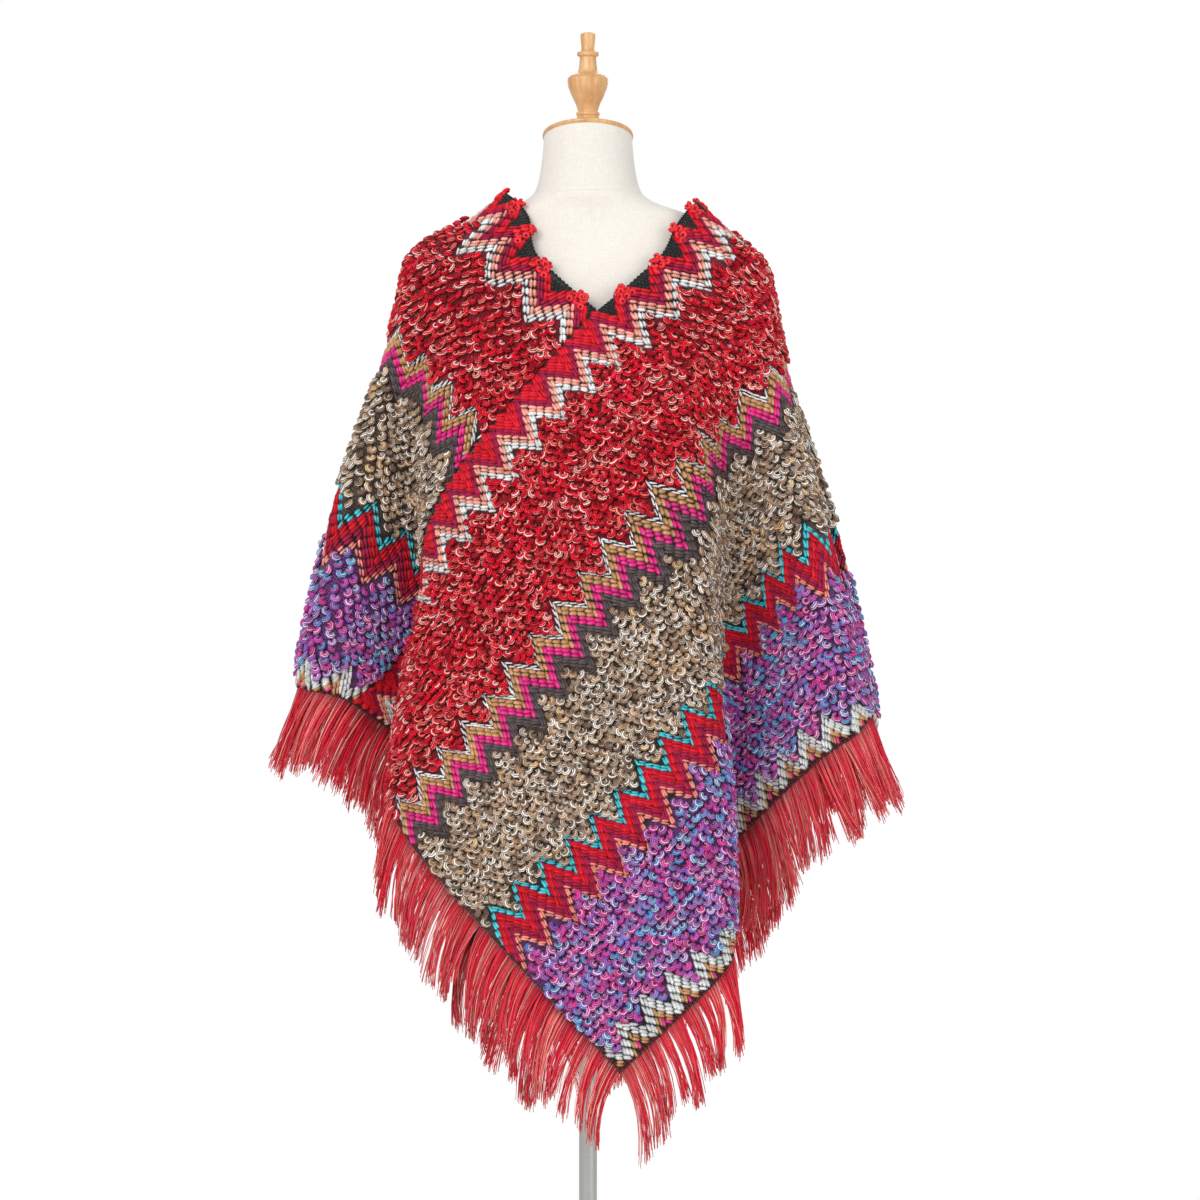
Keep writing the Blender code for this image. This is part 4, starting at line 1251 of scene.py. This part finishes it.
def loop_material(roughness, sheen):
    """Curled yarn of several loose strands, some of them light.

    The strands run along the tube with a slight turn. Each is a ridge with a crease
    beside it, with painted shade in the crease and a painted highlight on the crest.
    A white noise of strand and loop picks the light ones.
    """
    nodes = Nodes("loop_yarn")
    run, turn = nodes.cloth_uv()
    count = float(LOOP_STRANDS)
    strand = nodes.math("MULTIPLY_ADD", turn, count, nodes.math("MULTIPLY", run, 90.0))
    inside = nodes.math("ABSOLUTE", nodes.math("SUBTRACT", nodes.math("FRACT", strand), 0.5))
    index = nodes.math("MODULO", nodes.math("FLOOR", strand), count)
    vector = nodes.feed(nodes.add("ShaderNodeCombineXYZ"),
                        {"X": index, "Y": nodes.stored("grain", "Fac")})["Vector"]
    white = nodes.add("ShaderNodeTexWhiteNoise", noise_dimensions="2D")
    chance = nodes.feed(white, {"Vector": vector})["Value"]
    is_light = nodes.math("LESS_THAN", chance, LOOP_LIGHT_SHARE)
    crest = nodes.math("LESS_THAN", inside, 0.30)
    is_second = nodes.math("GREATER_THAN", chance, LOOP_SECOND_SHARE)
    body = nodes.mix(is_second, nodes.stored("yarn"), nodes.stored("second"))
    color = nodes.mix(nodes.math("MULTIPLY", is_light, crest), body, nodes.stored("strand"))
    fibre = nodes.noise(nodes.place(), 950.0, 3.0, 0.6)
    ridge = nodes.math("SUBTRACT", 1.0, nodes.math("MULTIPLY", inside, 2.0))
    # Painted shade in the creases beside each strand and a painted highlight on its crest.
    tone = nodes.tint(color, ridge, 0.45, 1.12)
    tone = nodes.tint(tone, fibre, 0.85, 1.15)
    nodes.bump(nodes.math("MULTIPLY_ADD", fibre, 0.3, ridge), 0.7, 0.0006)
    return nodes.finish(tone, {"Roughness": roughness, "Sheen Weight": sheen,
                               "Sheen Roughness": 0.45, "Specular IOR Level": 0.12})


def ground_material():
    """Dark knitted ground: columns of small V stitches over the cloth's own UV."""
    nodes = Nodes("knitted_ground")
    s, t = nodes.cloth_uv()
    column = nodes.math("SUBTRACT", nodes.math("FRACT", nodes.math("DIVIDE", s, 0.0042)), 0.5)
    lean = nodes.math("ABSOLUTE", column)
    row = nodes.math("ADD", nodes.math("DIVIDE", t, 0.0034), lean)
    wave = nodes.math("SINE", nodes.math("MULTIPLY", column, 2.0 * math.pi))
    along = nodes.math("SINE", nodes.math("MULTIPLY", nodes.math("FRACT", row), math.pi))
    stitch = nodes.math("MULTIPLY", nodes.math("ABSOLUTE", wave), along)
    fibre = nodes.noise(nodes.place(), 900.0, 3.0, 0.6)
    # Painted shade and highlight: darker between the V stitches and lighter on their crowns,
    # matching the relief.
    tone = nodes.tint(nodes.stored("yarn"), stitch, 0.55, 1.5)
    tone = nodes.tint(tone, fibre, 0.75, 1.25)
    nodes.bump(nodes.math("MULTIPLY_ADD", fibre, 0.3, stitch), 0.8, 0.0009)
    return nodes.finish(tone, {"Roughness": 0.92, "Sheen Weight": 0.25,
                               "Specular IOR Level": 0.2})


def linen_material(color):
    """Plain-woven cream cover: two crossed rows of threads with slubs."""
    nodes = Nodes("form_linen")
    place = nodes.place()
    parts = nodes.parted(place)
    slub = nodes.noise(nodes.stretched((700.0, 700.0, 90.0)), 1.0, 2.0, 0.6)
    weft_slub = nodes.noise(nodes.stretched((90.0, 90.0, 900.0)), 1.0, 2.0, 0.6)
    around = nodes.math("ARCTAN2", parts["Y"], parts["X"])
    warp = nodes.math("SINE", nodes.math("MULTIPLY", around, 620.0))
    weft = nodes.math("SINE", nodes.math("MULTIPLY", parts["Z"], 8200.0))
    weave = nodes.math("MULTIPLY", warp, weft)
    threads = nodes.math("ADD", slub, weft_slub)
    tone = nodes.tint(opaque(color), slub, 0.94, 1.04)
    tone = nodes.tint(tone, weft_slub, 0.95, 1.03)
    tone = nodes.tint(tone, nodes.noise(place, 9.0), 0.97, 1.02)
    nodes.bump(nodes.math("MULTIPLY_ADD", weave, 0.25, threads), 0.35, 0.00025)
    return nodes.finish(tone, {"Roughness": 0.88, "Sheen Weight": 0.15,
                               "Specular IOR Level": 0.25})


def wood_material(color, dark):
    """Varnished turned beech: streaks along the grain, flecks and fine pores."""
    nodes = Nodes("turned_wood")
    streak = nodes.noise(nodes.stretched((160.0, 160.0, 14.0)), 1.0, 4.0, 0.6)
    fleck = nodes.noise(nodes.stretched((900.0, 900.0, 130.0)), 1.0)
    cloud = nodes.noise(nodes.place(), 48.0)
    ramp = nodes.add("ShaderNodeValToRGB")
    for end, place, shade in zip(ramp.color_ramp.elements, (0.30, 0.62), (dark, color)):
        end.position = place
        end.color = opaque(shade)
    grain = nodes.math("MULTIPLY_ADD", cloud, 0.45, nodes.math("MULTIPLY", streak, 0.6))
    tone = nodes.tint(nodes.feed(ramp, {"Fac": grain})["Color"], fleck, 0.90, 1.06)
    nodes.bump(nodes.math("ADD", streak, fleck), 0.15, 0.0003)
    return nodes.finish(tone, {"Roughness": 0.38, "Coat Weight": 0.35, "Coat Roughness": 0.18})


def steel_material(name, color, roughness, stretch):
    """Brushed steel: fine lines along the piece and faint handling marks."""
    nodes = Nodes(name)
    line = nodes.noise(nodes.stretched(stretch), 1.0, 3.0, 0.6)
    mark = nodes.noise(nodes.place(), 22.0, 3.0, 0.6)
    spread = nodes.math("MULTIPLY_ADD", mark, 0.18, roughness - 0.09)
    nodes.bump(line, 0.12, 0.0002)
    tone = nodes.tint(opaque(color), line, 0.90, 1.06)
    return nodes.finish(tone, {"Roughness": spread, "Metallic": 1.0})


def floor_material(color):
    """Pale matt studio floor with a faint mottle."""
    nodes = Nodes("studio_floor")
    tone = nodes.tint(opaque(color), nodes.noise(nodes.place(), 2.5, 3.0), 0.98, 1.01)
    return nodes.finish(tone, {"Roughness": 0.7})


class PonchoFringeSettings(bpy.types.PropertyGroup):
    """Sizes of the fringe."""

    threads_per_cm: FloatProperty(name="Threads per cm", default=20.5, min=4.0, max=22.0,
                                  description="Yarn ends in each centimetre of hem")
    length: FloatProperty(name="Length", default=0.090, min=0.03, max=0.15, unit="LENGTH",
                          description="Length of the longest yarn ends")
    thread_radius: FloatProperty(name="Thread radius", default=0.00068, min=0.0002, max=0.001,
                                 unit="LENGTH", description="Half thickness of one yarn end")


class PonchoKnitSettings(bpy.types.PropertyGroup):
    """Finish of the knitted yarn."""

    loop_roughness: FloatProperty(name="Loop roughness", default=0.80, min=0.0, max=1.0,
                                  subtype="FACTOR", description="Roughness of the curled loops")
    nap: FloatProperty(name="Nap", default=0.06, min=0.0, max=1.0, subtype="FACTOR",
                       description="Strength of the woollen sheen")
    ply_pitch: FloatProperty(name="Ply pitch", default=0.0026, min=0.001, max=0.01,
                             unit="LENGTH", description="Length of one twist of the plies")


class DressFormSettings(bpy.types.PropertyGroup):
    """Colours of the dress form."""

    linen: FloatVectorProperty(name="Linen", default=(240, 235, 226), min=0, max=255,
                               description="Cover colour, each channel from 0 to 255")
    wood: FloatVectorProperty(name="Wood", default=(232, 184, 126), min=0, max=255,
                              description="Wood colour, each channel from 0 to 255")
    wood_dark: FloatVectorProperty(name="Wood grain", default=(196, 134, 78), min=0, max=255,
                                   description="Grain colour, each channel from 0 to 255")
    steel: FloatVectorProperty(name="Steel", default=(196, 196, 192), min=0, max=255,
                               description="Steel colour, each channel from 0 to 255")


class PonchoStageSettings(bpy.types.PropertyGroup):
    """Studio light and floor."""

    floor_radius: FloatProperty(name="Floor radius", default=2.4, min=1.0, max=6.0,
                                unit="LENGTH", description="Radius of the pale floor")
    key_power: FloatProperty(name="Key power", default=70.0, min=0.0, max=500.0, unit="POWER",
                             description="Power of the main soft light")
    fill_power: FloatProperty(name="Fill power", default=30.0, min=0.0, max=500.0, unit="POWER",
                              description="Power of the fill light")
    back_power: FloatProperty(name="Back power", default=30.0, min=0.0, max=500.0, unit="POWER",
                              description="Power of the light behind the form")
    ambient: FloatProperty(name="Ambient", default=0.62, min=0.0, max=3.0,
                           description="Strength of the even white surroundings")


class PonchoSettings(bpy.types.PropertyGroup):
    """All settings of the poncho scene."""

    knit: PointerProperty(type=PonchoKnitSettings, name="Knit", description="Yarn finish")
    fringe: PointerProperty(type=PonchoFringeSettings, name="Fringe", description="Fringe sizes")
    form: PointerProperty(type=DressFormSettings, name="Form", description="Form colours")
    stage: PointerProperty(type=PonchoStageSettings, name="Stage", description="Studio")


class PONCHO_OT_stage(bpy.types.Operator):
    """Make the floor, the lights, the surroundings and the camera"""

    bl_idname = "poncho.stage"
    bl_label = "Studio"

    def execute(self, context):
        settings = context.scene.poncho.stage
        radius = np.linspace(settings.floor_radius, 0.02, 40)
        zero = radius * 0.0
        rings = ring_points(radius, radius, zero, zero - 0.0005, zero, 96)
        rings = np.concatenate([rings[:1] - np.array([0.0, 0.0, 0.02]), rings])
        floor = bpy.data.objects.new("studio_floor", loft_mesh("studio_floor", rings))
        context.scene.collection.objects.link(floor)
        floor.data.materials.append(floor_material(FLOOR_COLOR))
        for name, (place, size) in LIGHTS.items():
            power = getattr(settings, name + "_power")
            self.add_light(context, name + "_light", place, size, power)
        self.add_surroundings(context, settings.ambient)
        camera = bpy.data.cameras.new("photo_camera")
        camera.sensor_width = SENSOR_WIDTH
        camera.lens = SENSOR_WIDTH * -CAMERA_PLACE[1] / VIEW_WIDTH
        eye = bpy.data.objects.new("photo_camera", camera)
        eye.location = CAMERA_PLACE
        eye.rotation_euler = (math.pi / 2, 0.0, 0.0)
        context.scene.collection.objects.link(eye)
        context.scene.camera = eye
        return {"FINISHED"}

    def add_surroundings(self, context, ambient):
        """White seen behind the object, and softer white light from all round."""
        world = bpy.data.worlds.new("studio_white")
        context.scene.world = world
        context.scene.view_settings.view_transform = "Standard"
        world.use_nodes = True
        tree = world.node_tree
        seen = tree.nodes.new("ShaderNodeLightPath").outputs["Is Camera Ray"]
        strength = tree.nodes.new("ShaderNodeMapRange")
        strength.inputs["To Min"].default_value = ambient
        strength.inputs["To Max"].default_value = 1.0
        tree.links.new(seen, strength.inputs["Value"])
        surround = tree.nodes["Background"]
        surround.inputs["Color"].default_value = (1.0, 1.0, 1.0, 1.0)
        tree.links.new(strength.outputs["Result"], surround.inputs["Strength"])

    def add_light(self, context, name, place, size, power):
        """One square area light that faces the middle of the poncho."""
        light = bpy.data.lights.new(name, "AREA")
        light.size = size
        light.energy = power
        lamp = bpy.data.objects.new(name, light)
        aim = np.array([0.0, 0.0, 1.0]) - np.array(place)
        tip = math.atan2(math.hypot(aim[0], aim[1]), -aim[2])
        lamp.rotation_euler = (tip, 0.0, math.atan2(-aim[0], aim[1]))
        lamp.location = place
        context.scene.collection.objects.link(lamp)


class PONCHO_OT_loops(bpy.types.Operator):
    """Make the curled loops of the three looped stripes on both panels"""

    bl_idname = "poncho.loops"
    bl_label = "Looped stripes"

    def execute(self, context):
        knit = context.scene.poncho.knit
        wool = loop_material(knit.loop_roughness, knit.nap)
        for panel, turned in PANELS:
            for stripe in LOOP_YARNS:
                name = "%s_%s" % (panel, stripe)
                add_piece(name, loops_mesh(name, stripe, turned), wool)
        return {"FINISHED"}


class PONCHO_OT_zigzags(bpy.types.Operator):
    """Make the zigzag stitches of the four bands on both panels"""

    bl_idname = "poncho.zigzags"
    bl_label = "Zigzag bands"

    def execute(self, context):
        knit = context.scene.poncho.knit
        wool = yarn_material("zigzag_yarn", knit.ply_pitch * 0.8, 0.82, knit.nap * 0.6)
        for panel, turned in PANELS:
            for band in BAND_STRANDS:
                name = "%s_%s" % (panel, band)
                add_piece(name, stitches_mesh(name, band, turned), wool)
        return {"FINISHED"}


class PONCHO_OT_edges(bpy.types.Operator):
    """Make the chain stitches along the hems and neck, and the neck picots"""

    bl_idname = "poncho.edges"
    bl_label = "Hem chains and neck edge"

    def execute(self, context):
        knit = context.scene.poncho.knit
        wool = yarn_material("edge_yarn", knit.ply_pitch * 0.6, 0.80, knit.nap * 0.4)
        for panel, turned in PANELS:
            name = "%s_edge_chain" % panel
            add_piece(name, edges_mesh(name, turned), wool)
            name = "%s_neck_picots" % panel
            add_piece(name, picots_mesh(name, turned), wool)
        return {"FINISHED"}


class PONCHO_OT_fringe(bpy.types.Operator):
    """Make the fine fringe of the four hems"""

    bl_idname = "poncho.fringe"
    bl_label = "Fringe"

    def execute(self, context):
        settings = context.scene.poncho.fringe
        wool = yarn_material("fringe_yarn", 0.0016, 0.70, 0.10)
        seed = 1
        for panel, turned in PANELS:
            for hem, short_end in (("long", False), ("end", True)):
                name = "%s_fringe_%s" % (panel, hem)
                mesh = fringe_mesh(name, turned, short_end, seed, settings)
                piece = add_piece(name, mesh, wool)
                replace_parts(piece, "fringe_%s_%s" % (panel, hem))
                seed += 20
        return {"FINISHED"}


class PONCHO_OT_ground(bpy.types.Operator):
    """Make the knitted wall of both panels"""

    bl_idname = "poncho.ground"
    bl_label = "Knitted ground"

    def execute(self, context):
        knit = ground_material()
        for panel, turned in PANELS:
            name = "%s_ground" % panel
            piece = add_piece(name, ground_mesh(name, turned), knit)
            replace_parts(piece, "%s_panel" % panel)
        return {"FINISHED"}


class PONCHO_OT_form(bpy.types.Operator):
    """Make the linen cover, the wooden cap and finial, and the steel stand"""

    bl_idname = "poncho.form"
    bl_label = "Dress form"

    def execute(self, context):
        form = context.scene.poncho.form
        linen = linen_material(form.linen)
        wood = wood_material(form.wood, form.wood_dark)
        tube_steel = steel_material("tube_steel", form.steel, 0.26, (1800.0, 1800.0, 12.0))
        plate_steel = steel_material("plate_steel", form.steel, 0.36, (60.0, 60.0, 60.0))
        cover = add_piece("form_cover", form_mesh("form_cover"), linen)
        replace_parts(cover, "torso")
        cap = turned_mesh("wooden_cap", CAP_ROWS, 8, 96, lean_below=2.0)
        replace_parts(add_piece("wooden_cap", cap, wood), "neck_cap")
        knob = turned_mesh("wooden_finial", FINIAL_ROWS, 6, 64, lean_below=FINIAL_LEVEL_FROM)
        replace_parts(add_piece("wooden_finial", knob, wood), "finial")
        tube = ((POLE_RADIUS * 0.9, POLE_BOTTOM), (POLE_RADIUS, POLE_BOTTOM + 0.0008),
                (POLE_RADIUS, POLE_TOP - 0.0008), (POLE_RADIUS * 0.9, POLE_TOP))
        pole = turned_mesh("steel_pole", tube, 4, 64)
        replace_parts(add_piece("steel_pole", pole, tube_steel), "pole")
        plate = turned_mesh("steel_base", BASE_ROWS, 8, 128)
        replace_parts(add_piece("steel_base", plate, plate_steel), "base_plate")
        return {"FINISHED"}


OPERATORS = (PONCHO_OT_stage, PONCHO_OT_form, PONCHO_OT_loops, PONCHO_OT_zigzags,
             PONCHO_OT_edges, PONCHO_OT_fringe, PONCHO_OT_ground)


class PONCHO_PT_sidebar(bpy.types.Panel):
    """Sidebar list of the poncho's pieces and settings"""

    bl_idname = "PONCHO_PT_sidebar"
    bl_label = "Knitted poncho"
    bl_space_type = "VIEW_3D"
    bl_region_type = "UI"
    bl_category = "Poncho"

    def draw(self, context):
        for operator in OPERATORS:
            self.layout.operator(operator.bl_idname)
        settings = context.scene.poncho
        for group in (settings.knit, settings.fringe, settings.form, settings.stage):
            box = self.layout.box()
            for key in group.bl_rna.properties.keys():
                if key not in ("rna_type", "name"):
                    box.prop(group, key)


CLASSES = (PonchoKnitSettings, PonchoFringeSettings, DressFormSettings, PonchoStageSettings,
           PonchoSettings) + OPERATORS + (PONCHO_PT_sidebar,)


def register():
    """Register every class and the settings on the scene."""
    for cls in CLASSES:
        bpy.utils.register_class(cls)
    bpy.types.Scene.poncho = PointerProperty(type=PonchoSettings, name="Poncho",
                                             description="Settings of the poncho scene")


def unregister():
    """Remove the settings and every class."""
    del bpy.types.Scene.poncho
    for cls in reversed(CLASSES):
        bpy.utils.unregister_class(cls)


def main():
    """Build every piece in order."""
    register()
    bpy.ops.poncho.stage()
    bpy.ops.poncho.form()
    bpy.ops.poncho.loops()
    bpy.ops.poncho.zigzags()
    bpy.ops.poncho.edges()
    bpy.ops.poncho.fringe()
    bpy.ops.poncho.ground()


if __name__ == "__main__":
    main()
